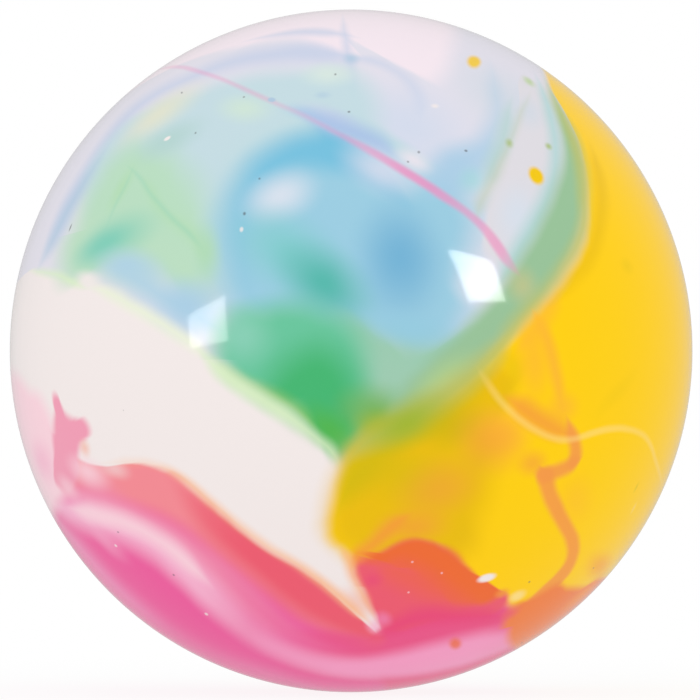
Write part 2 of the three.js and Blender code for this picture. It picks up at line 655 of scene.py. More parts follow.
# Front half: the pinks at the foot and the white tongue over them
FOOT: tuple[Pour, ...] = (
    Pool(P.MAGENTA, (-12, -31), (
        (-47, -19), (-42, -9), (-36, -3), (-26, -8), (-14, -14), (0, -22), (8, -27), (17, -27.5),
        (20, -38), (4, -56), (-24, -50), (-46, -30),
    ), soft=1.0),
    Drop(P.ROSE_MAGENTA, (4, -33), (17, 9), soft=0.8),
    Drop(P.HOT_ROSE, (0, -37.5), (12, 3.4), strength=0.6),
    Ribbon(P.CORAL, (
        (-38, -9, 0), (-31, -12, 3.6), (-25, -13.4, 3.4), (-18, -16, 3.4), (-13, -19.5, 3.4),
        (-8, -23.5, 3), (-2, -28, 2.5), (7, -32, 0),
    ), soft=2.0),
    Ribbon(P.CORAL_PINK, (
        (-34, -13.5, 0), (-27, -16, 1.2), (-21, -18.8, 1.4), (-16, -22.4, 1.8), (-11, -26.6, 2),
        (-6, -30.2, 1.6), (3, -32.8, 0),
    ), soft=1.6, fades=(1, 1, 1, 0.9, 0.6, 0.3, 0)),
    Drop(P.CORAL_PINK, (-27.5, -14.4), (6, 3), -5, strength=0.6),
    Ribbon(P.RED_ROSE, (
        (-21, -12.5, 0), (-15, -17.6, 2.2), (-10, -21.8, 2.6), (-5, -25.8, 2.8), (0, -29, 2.4),
        (5, -30.8, 1.6), (13, -30.5, 0),
    ), soft=2.0, fades=(0.1, 0.75, 1, 1, 1, 0.9, 0.5)),
    Ribbon(P.PALE_PINK, (
        (-34, -15.3, 0), (-28.5, -17.6, 2.2), (-25, -18.8, 2.2), (-21.5, -20.5, 2.2), (-18.6, -22.7, 2.2),
        (-15.8, -25.4, 2.1), (-13, -28, 1.9), (-10, -30.5, 2), (-6, -32.6, 1.6), (0, -34, 1.7),
        (6, -34.2, 2), (12, -33, 0),
    ), soft=2.4, strength=0.95, fades=(1, 1, 1, 1, 1, 0.95, 0.7, 0.5, 0.5, 0.5, 0.3, 0)),
    Ribbon(P.PINK, (
        (-35, -14, 0), (-29, -21, 1.8), (-24, -26.2, 2), (-17, -31.2, 2), (-8, -34.8, 1.8), (0, -37.5, 0),
    ), soft=3.0, strength=0.75, fades=(0.6, 1, 0.9, 0.25, 0.5, 0.4)),
    Ribbon(P.BLUSH, (
        (-31, -16.4, 0), (-27.4, -17.5, 1.3), (-23.8, -18.5, 1.2), (-20.8, -20.1, 1), (-18, -22.2, 0.9),
        (-14, -26.2, 0),
    ), soft=1.4, strength=0.9),
    Pool(P.WARM_WHITE, (-10, -6), (
        (-48, 2), (-38, -3.5), (-34, -6), (-31, -9.8), (-29, -11.6), (-26, -12.3), (-24, -12.05),
        (-22, -12.15), (-20, -12.8), (-18, -13.9), (-16, -15.5), (-14, -17.2), (-12, -18.9), (-10, -20.5),
        (-8, -21.8), (-6, -23), (-4, -24.3), (-2, -25.9), (0, -27.7), (1.5, -29), (2.7, -29.9),
        (2.9, -28.4), (2.2, -26), (0.8, -23.5), (0.4, -20), (1, -14), (2, -8), (-2, 0), (-12, 8),
        (-26, 14), (-42, 12),
    ), soft=0.7),
    Drop(P.PEACH_PINK, (0.9, -27), (2, 4), 38, soft=0.9, strength=0.65),
    Drop(P.ROSE_MAGENTA, (-0.6, -30.9), (8, 2.4), -12, strength=0.8),
    Drop(P.PALE_PINK, (2.6, -29.5), (1.5, 2.2), 30, strength=0.8),
    Pool(P.BLUSH, (-35, -11.5), (
        (-46, -4.6), (-41, -2.4), (-38, -2.4), (-34.6, -4), (-32.6, -6), (-31.4, -9), (-30.4, -12),
        (-30.6, -15), (-31.8, -17.6), (-36, -19), (-41, -18), (-46, -14.6), (-50, -10.6),
    ), soft=1.8),
    Drop(P.PINK, (-33, -11.8), (5.5, 4.5), 20, strength=0.35),
    Pool(P.STAR_PINK, (-30.6, -9), (
        (-31.7, -4.6), (-31, -5.8), (-30.3, -6.9), (-29.4, -7.2), (-28.5, -7.3), (-28, -8.2),
        (-28.4, -9.3), (-29, -10.2), (-29.2, -11.4), (-29, -12.8), (-29.8, -14.4), (-31.4, -14.4),
        (-31.8, -12.6), (-31.8, -10.4), (-31.8, -8.6), (-31.7, -6.6),
    ), soft=0.8),
    Drop(P.PEACH_PINK, (-28.5, -10.3), (1.4, 1.7), strength=0.8),
    Drop(P.BLUSH, (-30.3, -14.6), (3.4, 2.4), -15, strength=0.55),
    Drop(P.BLUSH, (-28.2, -12.9), (5, 3), -10, strength=0.8),
    Drop(P.PALE_PINK, (-26, -20.6), (5, 2.4), -35, strength=0.4),
    Ribbon(P.PEACH, (
        (-28, -12, 0), (-24, -11.9, 0.3), (-21, -12.2, 0.3), (-18, -13.7, 0.35), (-15, -16.1, 0.4),
        (-12, -18.6, 0.4), (-9, -20.8, 0.4), (-6, -22.7, 0.4), (-3, -24.8, 0.5), (0, -27.3, 0.5),
        (3, -29.8, 0),
    ), soft=0.8, strength=0.8, fades=(0.2, 0.3, 0.5, 1, 0.9, 0.8, 0.8, 0.9, 1, 1, 0.6)),
    Drop(P.WARM_WHITE, (-25.4, -12.6), (3.2, 1.7), -6, strength=0.45),
)

# Front half: the pearl ground and the soft greens and blues of its upper left
UPPER_LEFT: tuple[Pour, ...] = (
    Pool(P.LILAC_WHITE, (-2, 22), (
        (-48, 8), (-34.5, 8.8), (-32, 8), (-30.5, 7.6), (-28, 8), (-26, 6.6), (-24.5, 5.4), (-23, 4.7),
        (-21.5, 3.8), (-20, 2.6), (-18, 1.7), (-16, 0.3), (-14, -1.6), (-12, -3.6), (-10, -4.7),
        (-8, -5.8), (-6, -7.3), (-4, -8.8), (-2, -10.2), (-0.5, -12), (6, -12), (16, -4), (26, 8),
        (31, 22), (34, 44), (10, 58), (-16, 56), (-40, 40), (-52, 22),
    ), soft=0.8),
    Pool(P.ROSE_WHITE, (-4, 35.5), (
        (-25, 27.6), (-18, 30.8), (-12, 32.4), (-6, 33.3), (-0.4, 33.2), (1, 31.9), (4, 31), (7, 29.6),
        (9, 28.8), (10, 29.6), (11, 33), (10, 40), (0, 46), (-16, 42), (-28, 33),
    ), soft=2.2),
    Ribbon(P.LAVENDER, (
        (-13, 32.6, 0), (-8, 33.8, 0.5), (-3.6, 34.1, 1), (2, 33.2, 0),
    ), soft=1.2, strength=0.75),
    Ribbon(P.LAVENDER, (
        (-1, 36.3, 0), (-0.7, 34.3, 0.3), (-0.3, 32, 0.5), (0.1, 29.5, 0.5), (0.6, 25, 0),
    ), soft=0.8, strength=0.7),
    Ribbon(P.LAVENDER, (
        (-1, 31.6, 0), (2, 31.1, 0.6), (4.8, 29.9, 0.6), (6.6, 28.3, 0.7), (7.4, 26.5, 0.6), (7.6, 24, 0),
    ), soft=1.1, strength=0.6),
    Ribbon(P.LAVENDER, (
        (-33.8, 8.4, 0), (-31, 14, 1.6), (-28.8, 18, 1.6), (-26.4, 21.9, 1.6), (-23.6, 25.4, 1.5),
        (-20.6, 27.6, 1.3), (-17.2, 29.2, 1.2), (-13, 30.8, 1.4), (-8, 31.7, 1.6), (-3.5, 31.9, 1.4),
        (2, 31, 0),
    ), soft=2.4, strength=0.9),
    Drop(P.PERIWINKLE, (6, 24), (11, 9), -20, strength=0.9),
    Pool(P.ICE_BLUE, (-10, 23), (
        (-28, 19.5), (-25, 23.6), (-20, 26.6), (-15, 28.4), (-9, 29.8), (-3, 30.2), (1.5, 28.8),
        (3, 25.5), (2, 22), (-4, 18), (-12, 12), (-20, 12), (-27, 14),
    ), soft=2.4, strength=0.9),
    Drop(P.MIST_GREEN, (-2.4, 29.6), (4.6, 3), strength=0.9),
    Drop(P.DUSTY_BLUE, (0.1, 31.3), (1.5, 1.6), strength=0.7),
    Drop(P.DUSTY_BLUE, (-3, 27.3), (1.4, 0.9), strength=0.5),
    Drop(P.OLIVE_CREAM, (-20.6, 25.3), (9.5, 4.6), 35, strength=0.95),
    Drop(P.PALE_LIME, (-11.4, 26), (5, 3), -20, strength=0.4),
    Pool(P.MINT, (-21.5, 14), (
        (-27.4, 18), (-25.6, 20.6), (-22, 21.8), (-19, 20.8), (-16.6, 18), (-15, 15), (-13.8, 12),
        (-13.4, 9), (-15, 6), (-19, 6.6), (-22, 7.6), (-25, 8), (-28, 8.2), (-31, 8.4), (-29.6, 13),
    ), soft=3.4, strength=0.95),
    Drop(P.SPRING, (-24.6, 17.4), (4.5, 1.8), 65, strength=0.5),
    Ribbon(P.SPRING, (
        (-23.5, 19.3, 0), (-21.5, 17.4, 0.3), (-20.3, 15, 0.4), (-18, 13.2, 0.5), (-16.3, 11.6, 0.5),
        (-15, 8, 0),
    ), soft=1.2, strength=0.5),
    Ribbon(P.SEA_GREEN, (
        (-24.6, 20.2, 0), (-22.9, 18.8, 0.12), (-21.2, 16.6, 0.15), (-19.2, 14.2, 0.2),
        (-17.2, 12.4, 0.2), (-14.6, 9.4, 0),
    ), soft=0.45, strength=0.4),
    Ribbon(P.SEA_GREEN, (
        (-23, 20.4, 0), (-23.9, 18.2, 0.12), (-25.2, 15.6, 0.15), (-26.6, 12, 0),
    ), soft=0.45, strength=0.35),
    Drop(P.GREY_AQUA, (-19.4, 22.6), (6.5, 3.6), 20, strength=0.8),
    Drop(P.SEA_GREEN, (-25.4, 11.9), (8, 4.2), 14, strength=0.95),
    Drop(P.TEAL, (-27, 11.2), (6, 2.8), 18, strength=0.45),
    Ribbon(P.DUSTY_BLUE, (
        (-34, 7.6, 0), (-32, 11.6, 0.6), (-30.4, 14.8, 0.8), (-28.4, 18.2, 0.6), (-25, 23.4, 0),
    ), soft=2.2, strength=0.85),
    Drop(P.MIST_BLUE, (-24, 9), (6.5, 3.2), -12, strength=0.95),
    Ribbon(P.MIST_BLUE, (
        (-27.5, 9.6, 0), (-23, 7.6, 1.2), (-20.4, 5.9, 1.6), (-17.6, 4.4, 1.9), (-12.5, 1, 0),
    ), soft=2.2, strength=0.95),
    Drop(P.LIGHT_BLUE, (-17.4, 5), (5, 4), strength=0.65),
    Drop(P.WARM_WHITE, (-28.2, 7.8), (3.2, 1.5), -12, strength=0.8),
    Ribbon(P.PALE_LIME, (
        (-35, 8.5, 0), (-33.2, 8.5, 0.3), (-31.2, 8.1, 0.4), (-29.5, 7.2, 0.3), (-27.5, 6.4, 0),
    ), soft=0.8, strength=0.8),
    Ribbon(P.CREAM, (
        (-29, 7, 0), (-26, 6.2, 0.5), (-23.5, 4.8, 0.6), (-21.3, 3.6, 0.6), (-19, 2.1, 0.6),
        (-16.5, 0.4, 0.5), (-14, -1.8, 0),
    ), soft=0.9, strength=0.9),
)

# Front half: the blue arc and the colours that it winds round
MIDDLE: tuple[Pour, ...] = (
    Ribbon(P.ICE_BLUE, (
        (-12.5, 2, 0), (-13.6, 9, 0.8), (-13.2, 15, 1.2), (-11.2, 20, 1.5), (-6, 23, 1.5), (2, 22.4, 1.2),
        (12, 18, 0),
    ), soft=3.2, fades=(0.3, 0.4, 0.6, 1, 1, 1, 1)),
    Pool(P.MID_BLUE, (0, 11), (
        (-13.8, 5), (-14.4, 10), (-13.6, 15), (-11.6, 18.6), (-8, 21.4), (-3, 22.6), (2, 21.6), (6, 19.8),
        (10, 18.4), (13, 16), (13.5, 12), (12.5, 8), (13, 4), (11, 0.5), (4, 0), (-4, 1), (-10, 3),
    ), soft=3.4, strength=0.95),
    Ribbon(P.SKY_BLUE, (
        (-12.2, 5, 0), (-12.8, 10.5, 0.8), (-12.5, 14, 1.2), (-11.3, 17, 1.5), (-9, 19.6, 1.8),
        (-6, 21, 1.8), (-2.5, 21.2, 1.7), (1, 20.5, 1.3), (5, 18.4, 0),
    ), soft=2.6, fades=(0, 0.2, 0.35, 0.6, 0.95, 1, 1, 0.9, 0.5)),
    Drop(P.LAVENDER, (-2.6, 25), (6, 2.2), -25, strength=0.8),
    Drop(P.LIGHT_BLUE, (-5, 25.4), (4, 1.6), -25, strength=0.5),
    Ribbon(P.VIOLET_BLUE, (
        (-7.4, 26.4, 0), (-3, 24.7, 0.9), (0, 23.5, 1.2), (2.4, 22.3, 1.2), (6, 20, 0),
    ), soft=1.4, strength=0.85),
    Drop(P.PEARL_BLUE, (-7.6, 16.6), (5.6, 4), 22),
    Drop(P.PERIWINKLE, (3.2, 19.4), (6.5, 3.8), -28, strength=0.9),
    Drop(P.DEEP_SKY, (5.2, 10), (6, 8.5), 4, strength=0.8),
    Drop(P.POOL_AQUA, (-6.8, 10.6), (8.4, 5.4), -32, strength=0.95),
    Drop(P.DEEP_TEAL, (-2.8, 7.2), (7.5, 4.8), -38, strength=0.9),
    Drop(P.SPRING, (-15.4, 10.8), (2.2, 4.6), 12, strength=0.65),
    Pool(P.PALE_JADE, (6, -2.5), (
        (-2, 2.4), (2, 2.6), (6, 1.2), (10, 1), (14, 2), (13, -3), (8, -7), (2, -10), (-2, -8), (-2, -3),
    ), soft=2.6, strength=0.95),
    Drop(P.MID_BLUE, (6.4, 2.4), (7, 2.8), -8, strength=0.85),
    Pool(P.JADE, (-6, -1), (
        (-14.4, 1), (-12.6, -3), (-10.4, -4.4), (-8.4, -5.4), (-6.4, -6.8), (-4, -8.8), (-1.6, -11),
        (0.8, -11), (2, -7), (1.6, -2), (0, 2.6), (-4, 4.8), (-9, 4.8), (-13, 3.6),
    ), soft=2.2),
    Pool(P.LEAF, (-4, -4), (
        (-9.4, -4), (-6.4, -6.4), (-3.6, -8.8), (-1.2, -11), (0.8, -9.4), (1, -5), (-0.2, -1.6),
        (-3, 0.4), (-6.8, -0.8),
    ), soft=2.6, strength=0.9),
    Drop(P.SEA_GREEN, (-11.6, 1.6), (4.6, 4.4), 10, strength=0.8),
    Drop(P.MOSS, (2.6, -6.6), (5.4, 4), -10, strength=0.95),
    Drop(P.GRASS, (-2.2, -8.4), (5, 2.8), -40, strength=0.9),
    Ribbon(P.LIME, (
        (-15.5, 0.2, 0), (-12.8, -2.5, 0.4), (-10, -4.1, 0.5), (-7.5, -5.3, 0.5), (-5.3, -6.7, 0.4),
        (-3, -9.2, 0),
    ), soft=1.1, strength=0.5),
    Ribbon(P.PALE_LIME, (
        (-17, 0.8, 0), (-13.8, -2.3, 0.8), (-10.8, -4.5, 0.8), (-8.1, -6.1, 0.8), (-5.6, -7.8, 0.6),
        (-3.7, -9.3, 0.4), (-2, -10.8, 0.3), (-1, -13.5, 0),
    ), soft=0.9, strength=0.85),
)

# Front half: the pale lens at the upper right and the green arc round it
UPPER_RIGHT: tuple[Pour, ...] = (
    Drop(P.GREY_LILAC, (16.5, 27), (11, 9), -40, strength=0.95),
    Ribbon(P.LIGHT_BLUE, (
        (14.6, 32, 0), (15.4, 28.2, 0.6), (15.6, 25.6, 0.8), (15, 23.4, 1.2), (14, 21.2, 1.8),
        (12.2, 19.4, 2), (10.2, 17.8, 1.8), (7.5, 15.5, 0),
    ), soft=1.8, strength=0.75, fades=(0.3, 0.5, 0.6, 0.8, 1, 1, 1, 1)),
    Drop(P.LIGHT_BLUE, (10.6, 20.2), (5.5, 3.4), 38, strength=0.7),
    Drop(P.ROSE_WHITE, (6.6, 20.5), (3.2, 1.8), -32, strength=0.7),
    Drop(P.AQUA, (13, 18.2), (2.8, 2.4), 40, strength=0.5),
    Ribbon(P.GREY_AQUA, (
        (17.4, 28, 0), (16.6, 24.6, 0.7), (16, 22, 0.9), (15.2, 20, 0.9), (13.8, 16.6, 0),
    ), soft=1.3, strength=0.75),
    Pool(P.LENS_WHITE, (18.6, 18.5), (
        (18.8, 29.3), (20.3, 27.4), (21.5, 24.8), (22.1, 21.8), (22, 19), (21.3, 16.5), (20, 13.8),
        (18.4, 11.2), (16.6, 9), (15, 9.8), (14.3, 12.6), (14.7, 15.5), (15.8, 18.3), (16.8, 20.8),
        (17.6, 23.3), (18, 26.2),
    ), soft=0.9),
    Drop(P.GREY_LILAC, (19, 25.6), (3, 4.5), -20, strength=0.9),
    Drop(P.PEARL_BLUE, (17.8, 14.5), (4, 6), -18, strength=0.8),
    Ribbon(P.OLIVE_MIST, (
        (19.6, 28.4, 0), (18.2, 25.6, 0.2), (17, 22.4, 0.3), (16, 20, 0.5), (15, 18, 0.6), (14, 16, 0.6),
        (13.2, 13, 0),
    ), soft=0.9, strength=0.55),
    Drop(P.PEARL_BLUE, (13.5, 6.8), (3.6, 3), strength=0.8),
    Ribbon(P.MIST_AQUA, (
        (19.2, 30.4, 0), (21.1, 25.8, 0.8), (21.8, 22.2, 0.8), (21.8, 19.2, 0.8), (21, 16.6, 0.9),
        (19.8, 13.9, 1), (18.4, 11.4, 1), (17, 9, 0.9), (15, 6, 0),
    ), soft=1.2, strength=0.9),
    Ribbon(P.SAGE, (
        (20.2, 30, 0), (22.4, 25.4, 0.7), (23.6, 22, 1.3), (23.9, 19, 1.8), (23.4, 16, 2.4),
        (22.4, 13, 2.7), (21, 10, 2.7), (19, 7, 2.6), (16.8, 4, 2.5), (14.6, 1.4, 2.5), (12.4, -0.8, 2.4),
        (10, -2.8, 2), (7.2, -4.9, 1.4), (3, -7.6, 0),
    ), soft=1.3),
    Drop(P.PALE_OLIVE, (10, -3.4), (6, 3), 38, strength=0.8),
    Drop(P.TAN, (18.3, 7), (2.8, 3), strength=0.5),
    Ribbon(P.TAN, (
        (20.2, 29.8, 0), (22.6, 25.6, 0.4), (24.1, 22.1, 0.4), (24.7, 19, 0.4), (24.8, 15.6, 0.4),
        (24.2, 11.6, 0.4), (22.5, 8.4, 0.4), (20.3, 5.6, 0.5), (18.2, 3.3, 0.5), (16.2, 1, 0.6),
        (14.4, -1, 0.7), (12.4, -2.8, 0.8), (10.2, -4.4, 0.8), (8, -5.8, 0.7), (4, -8, 0),
    ), soft=1.2, strength=0.6, fades=(
        0.3, 0.3, 0.3, 0.3, 0.4, 0.5, 0.6, 0.6, 0.5, 0.4, 0.3, 0.3, 0.3, 0.3, 0.3,
    )),
)

# Front half: the yellow and what is drawn into it
RIGHT: tuple[Pour, ...] = (
    Drop(P.OLIVE_LIME, (3.4, -8.6), (4.2, 2.6), -20, soft=0.9),
    Pool(P.YELLOW, (8, -14.5), (
        (18, -1), (14, -2.4), (12, -3.8), (10, -5.3), (8, -6.6), (5.6, -7.8), (3.4, -8.8), (1.4, -10),
        (-0.2, -11.6), (-1.2, -13.4), (-1.8, -15.2), (-2.3, -17.2), (-2.5, -19), (-2.1, -20.5),
        (-1, -21.3), (0, -22.6), (4, -25.5), (10, -27.5), (18, -26), (23, -18), (23, -8),
    ), soft=1.2),
    Pool(P.YELLOW, (32, 0), (
        (20.2, 30.4), (22, 26.8), (23.6, 24.2), (24.6, 21.6), (25.1, 19), (25.2, 16.4), (25, 13.6),
        (24.4, 11.2), (23.2, 8.8), (21.7, 6.7), (19.9, 4.7), (18.1, 2.7), (16.4, 1), (14.8, -0.8),
        (13.4, -3), (13.6, -8), (14, -16), (16, -26), (19, -33), (26, -42), (46, -28), (56, 0), (48, 30),
        (32, 42), (23, 36),
    ), soft=1.5),
    Ribbon(P.AMBER, (
        (22.8, 7.4, 0), (21.4, 5, 0.8), (20.1, 3, 1), (18.8, 1.2, 0.8), (17.2, -0.8, 0),
    ), soft=1.2, strength=0.7),
    Pool(P.DEEP_GOLD, (7, -15), (
        (17, -1), (14, -3), (12, -4.2), (10, -5.7), (8, -7), (5.6, -8.2), (3.4, -9.2), (1.4, -10.4),
        (-0.2, -12), (-1.2, -13.6), (-1.8, -15.2), (-2.3, -17.2), (-2.4, -19), (-1.7, -20.3),
        (-0.7, -21.2), (2, -23), (8, -23), (12, -22), (14, -17), (15.5, -10), (17.5, -4),
    ), soft=2.6),
    Ribbon(P.DEEP_GOLD, (
        (25, 23.5, 0), (26.4, 19.5, 0.8), (26.8, 16.5, 1), (26.4, 13, 0.9), (25.1, 9.5, 0.8),
        (23, 7, 0.6), (20, 3.5, 0),
    ), soft=1.2, strength=0.7),
    Ribbon(P.CREAM_YELLOW, (
        (21, 31, 0), (25.5, 26.4, 2.2), (28.6, 23, 2.8), (31.6, 18.6, 2.4), (35.5, 10, 0),
    ), soft=3.0, strength=0.5),
    Ribbon(P.OLIVE_FRINGE, (
        (19.8, 30.8, 0), (21.6, 27, 0.7), (23.3, 24, 1.1), (24.3, 21.4, 1.1), (24.8, 19, 1.1),
        (24.9, 16.4, 0.9), (24.8, 13.6, 0.7), (24, 11.2, 0.7), (22.6, 8.9, 0.6), (20.9, 6.8, 0.6),
        (19, 4.6, 0.7), (17.2, 2.4, 0.7), (14.6, -1, 0),
    ), soft=1.2, strength=0.75, fades=(0.2, 0.6, 0.9, 1, 1, 1, 1, 0.9, 0.7, 0.6, 0.7, 0.7, 0.7)),
    Drop(P.GOLD, (16.8, -1.6), (2.4, 1.6), -50, strength=0.9),
    Drop(P.GOLD, (28.5, -4.5), (6, 1.6), 38, strength=0.35),
    Drop(P.GOLD, (29.5, 9), (1.4, 1.8), 60, strength=0.6),
    Drop(P.AMBER, (19.6, -1), (2.8, 6.5), 5, strength=0.7),
    Drop(P.AMBER, (22.6, -6), (3, 2.6), strength=0.8),
    Ribbon(P.OLIVE_YELLOW, (
        (16, -0.8, 0), (13, -3.8, 0.8), (10.4, -6, 1), (7.5, -7.9, 1.2), (4, -9.6, 1.5), (1.4, -12, 1.8),
        (-2, -19, 0),
    ), soft=1.6, strength=0.9),
    Drop(P.OLIVE_YELLOW, (5, -13), (9, 4.5), -25, strength=0.5),
    Ribbon(P.OLIVE_FRINGE, (
        (18, 3, 0), (15.2, -0.4, 0.8), (12.6, -2.8, 1), (10, -4.8, 1.1), (7.2, -6.5, 1.1), (4.2, -8.2, 1),
        (1.6, -9.8, 0.7), (-1, -13, 0),
    ), soft=1.5, strength=0.85),
    Drop(P.OLIVE_LIME, (6, -7.6), (7, 3.4), 26, strength=0.85),
    Drop(P.DARK_OLIVE, (11, -8), (5, 3.4), 20, strength=0.6),
    Drop(P.AMBER, (16.6, -8.6), (4.6, 3.4), -30, strength=0.9),
    Drop(P.ORANGE, (14.8, -9.8), (6, 4.4), -35, strength=0.55),
    Drop(P.ORANGE, (9.4, -14.8), (6.5, 4.6), 15, strength=0.5),
    Drop(P.ORANGE, (6.6, -18.8), (5.5, 3), strength=0.6),
    Drop(P.AMBER, (24, -16), (4, 5), 20, strength=0.4),
    Drop(P.ORANGE, (19.4, -12), (2.6, 2.2), strength=0.6),
    Ribbon(P.AMBER, (
        (19, 5, 0), (20.3, 2.8, 0.6), (21.1, 0.8, 0.7), (21.7, -1.6, 0.7), (22.2, -4, 0.6),
        (22.8, -7.4, 0),
    ), soft=0.8),
    Ribbon(P.ORANGE, (
        (15.6, -4.4, 0), (18.2, -6, 1), (20.2, -7.4, 1.1), (22.2, -8.4, 1), (25.2, -9.4, 0),
    ), soft=1.1, strength=0.8),
    Ribbon(P.VEIN_ORANGE, (
        (22.8, -6.4, 0), (23.6, -8.8, 0.7), (24, -10.3, 0.8), (23.9, -11.5, 0.8), (23.2, -13.2, 0),
    ), soft=0.6, strength=0.9),
    Ribbon(P.VEIN_ORANGE, (
        (24.9, -11.1, 0), (23.7, -12, 0.8), (22.4, -12.7, 0.9), (21, -13.2, 0.9), (19.5, -13.5, 0),
    ), soft=0.6, strength=0.9),
    Drop(P.VEIN_ORANGE, (20.8, -13.3), (1.7, 1.4), 40, soft=0.7, strength=0.9),
    Ribbon(P.VEIN_ORANGE, (
        (19.9, -11.9, 0), (20.7, -13.4, 0.9), (21.2, -15.2, 0.85), (22, -17, 0.8), (23, -18.8, 0.8),
        (23.7, -20.4, 0.9), (23.7, -22, 1), (22.8, -23.6, 1.2), (21.4, -25.1, 1.2), (19.6, -26.8, 1),
        (16.6, -29, 0),
    ), soft=0.6, strength=0.9),
    Ribbon(P.CREAM_YELLOW, (
        (13, -1.2, 0), (14.4, -3.4, 0.3), (15.8, -5.2, 0.3), (17.6, -6.9, 0.3), (19.4, -8.2, 0.3),
        (21.4, -9.1, 0.3), (23.5, -9.4, 0.3), (25.6, -8.9, 0.3), (27.6, -8.4, 0.3), (29.5, -8.3, 0.3),
        (31, -8.8, 0.3), (32, -9.9, 0.3), (32.6, -11.8, 0.3), (33.3, -15.5, 0),
    ), soft=0.4, strength=0.45, fades=(0.3, 0.6, 0.9, 1, 1, 1, 1, 1, 1, 1, 1, 1, 0.9, 0.6)),
    Drop(P.CREAM_YELLOW, (30.2, -16.8), (1.3, 0.5), 62, strength=0.5),
    Drop(P.OLIVE_YELLOW, (30.5, -14.6), (1.2, 0.4), 60, strength=0.5),
)

# Front half: the orange hump and the band along the lower right rim, with two small painted highlights
LOWER_RIGHT: tuple[Pour, ...] = (
    Pool(P.ROSE_MAGENTA, (10, -33), (
        (3.4, -31), (5, -28.6), (8, -28), (12, -27.2), (16.4, -27), (18, -29.5), (19.5, -33), (16, -42),
        (8, -44), (4, -38), (3, -34),
    ), soft=1.2),
    Ribbon(P.RIM_PINK, (
        (-13, -29, 0), (-9, -31.5, 1.2), (-4, -33.4, 2), (0, -34, 2.6), (4, -33.8, 3.2), (8, -33.2, 4),
        (12, -32.4, 4.4), (16, -31.4, 3.4), (19, -30.4, 2), (24, -28, 0),
    ), soft=2.2, fades=(0, 0.5, 0.85, 1, 1, 1, 1, 0.9, 0.8, 0.8)),
    Ribbon(P.RIM_ROSE, (
        (-27.1, -24.4, 0), (-20.9, -29.9, 2.2), (-14.3, -33.6, 2.8), (-7.6, -35.7, 2.8), (0, -36.5, 2.2),
        (8.2, -35.6, 0),
    ), soft=3.0, strength=0.6),
    Pool(P.RED_ROSE, (6.5, -25), (
        (0.6, -22), (1.8, -22.2), (3, -21.8), (4.4, -21), (5.6, -20.5), (7, -20.3), (8.6, -20.6),
        (10.1, -21.3), (11.4, -22.3), (12.6, -23.6), (14, -24.6), (15.4, -25.5), (16.6, -27), (14, -28.4),
        (8, -29), (4.4, -29.8), (3.2, -29.2), (2.4, -28), (1.5, -26.4), (0.7, -25), (0.2, -23.4),
    ), soft=0.7),
    Pool(P.ORANGE_RED, (9.5, -23), (
        (0.9, -21.8), (1.8, -22), (3, -21.6), (4.4, -20.8), (5.6, -20.3), (7, -20.1), (8.6, -20.4),
        (10.1, -21.1), (11.6, -22.1), (12.8, -23.4), (14.1, -24.3), (15.4, -25.3), (16, -26), (15, -26.8),
        (13, -27.2), (11, -27), (9, -25.6), (7, -24), (4.4, -23),
    ), soft=0.9),
    Ribbon(P.VERMILION, (
        (1.8, -22.4, 0), (4.6, -23.6, 1.4), (7.4, -24.8, 1.6), (9.6, -26, 1.2), (12, -27, 0.6),
        (15.6, -26.9, 0),
    ), soft=2.0, strength=0.9),
    Drop(P.ORANGE_RED, (2.4, -22.3), (3, 1.4), strength=0.7),
    Ribbon(P.HOT_ROSE, (
        (1, -31.4, 0), (4.6, -29.4, 1), (8, -28.4, 1.4), (11.5, -28.4, 1.2), (14.5, -28.4, 1),
        (18, -28.4, 0),
    ), soft=1.8, strength=0.9),
    Drop(P.PINK, (3.4, -28.6), (1.5, 2), 20, strength=0.6),
    Ribbon(P.ORANGE, (
        (7, -17, 0), (5, -18.2, 0.6), (3.6, -19.4, 0.8), (2.2, -20.8, 0.8), (0.7, -22, 0.7),
        (-0.2, -24, 0),
    ), soft=0.9, strength=0.8),
    Drop(P.HOT_ROSE, (2.3, -24.5), (1.7, 1.5), 20, strength=0.5),
    Pool(P.CORAL_ORANGE, (21.5, -28), (
        (35, -29.4), (33.4, -27.1), (28.8, -24.3), (27.2, -24.2), (26, -24.6), (24.6, -25.3),
        (23.4, -25.3), (22, -24.9), (20.4, -25.8), (18.8, -26.6), (17.4, -27.3), (16.6, -28.4),
        (16.8, -30), (18, -31.8), (22, -37), (30, -33),
    ), soft=1.1),
    Drop(P.RIM_ORANGE, (24.8, -26), (6, 3.4), 30, strength=0.8),
    Drop(P.ORANGE, (26.6, -23), (6, 3), -40, strength=0.6),
    Drop(P.RED_ROSE, (17, -28), (2.2, 2), 30, strength=0.7),
    Ribbon(P.PEACH, (
        (-1.4, -20.6, 0), (-0.4, -22, 0.4), (0, -23.6, 0.5), (0.7, -25.2, 0.4), (1.6, -26.8, 0.3),
        (3, -29.4, 0),
    ), soft=0.8, strength=0.75),
    Drop(P.ORANGE, (16.2, -25.9), (1.5, 1.2), strength=0.85),
    # Painted highlight: a white glint
    Drop(P.WARM_WHITE, (14.5, -24.3), (1.5, 0.8), 10, soft=0.6),
    # Painted highlight: a pale cream glint
    Drop(P.CREAM_YELLOW, (17.8, -26.2), (1.7, 1.3), 15, soft=0.8),
    Drop(P.ORANGE_RED, (11.2, -31.3), (1.2, 2.2), 20, soft=0.8, strength=0.85),
)

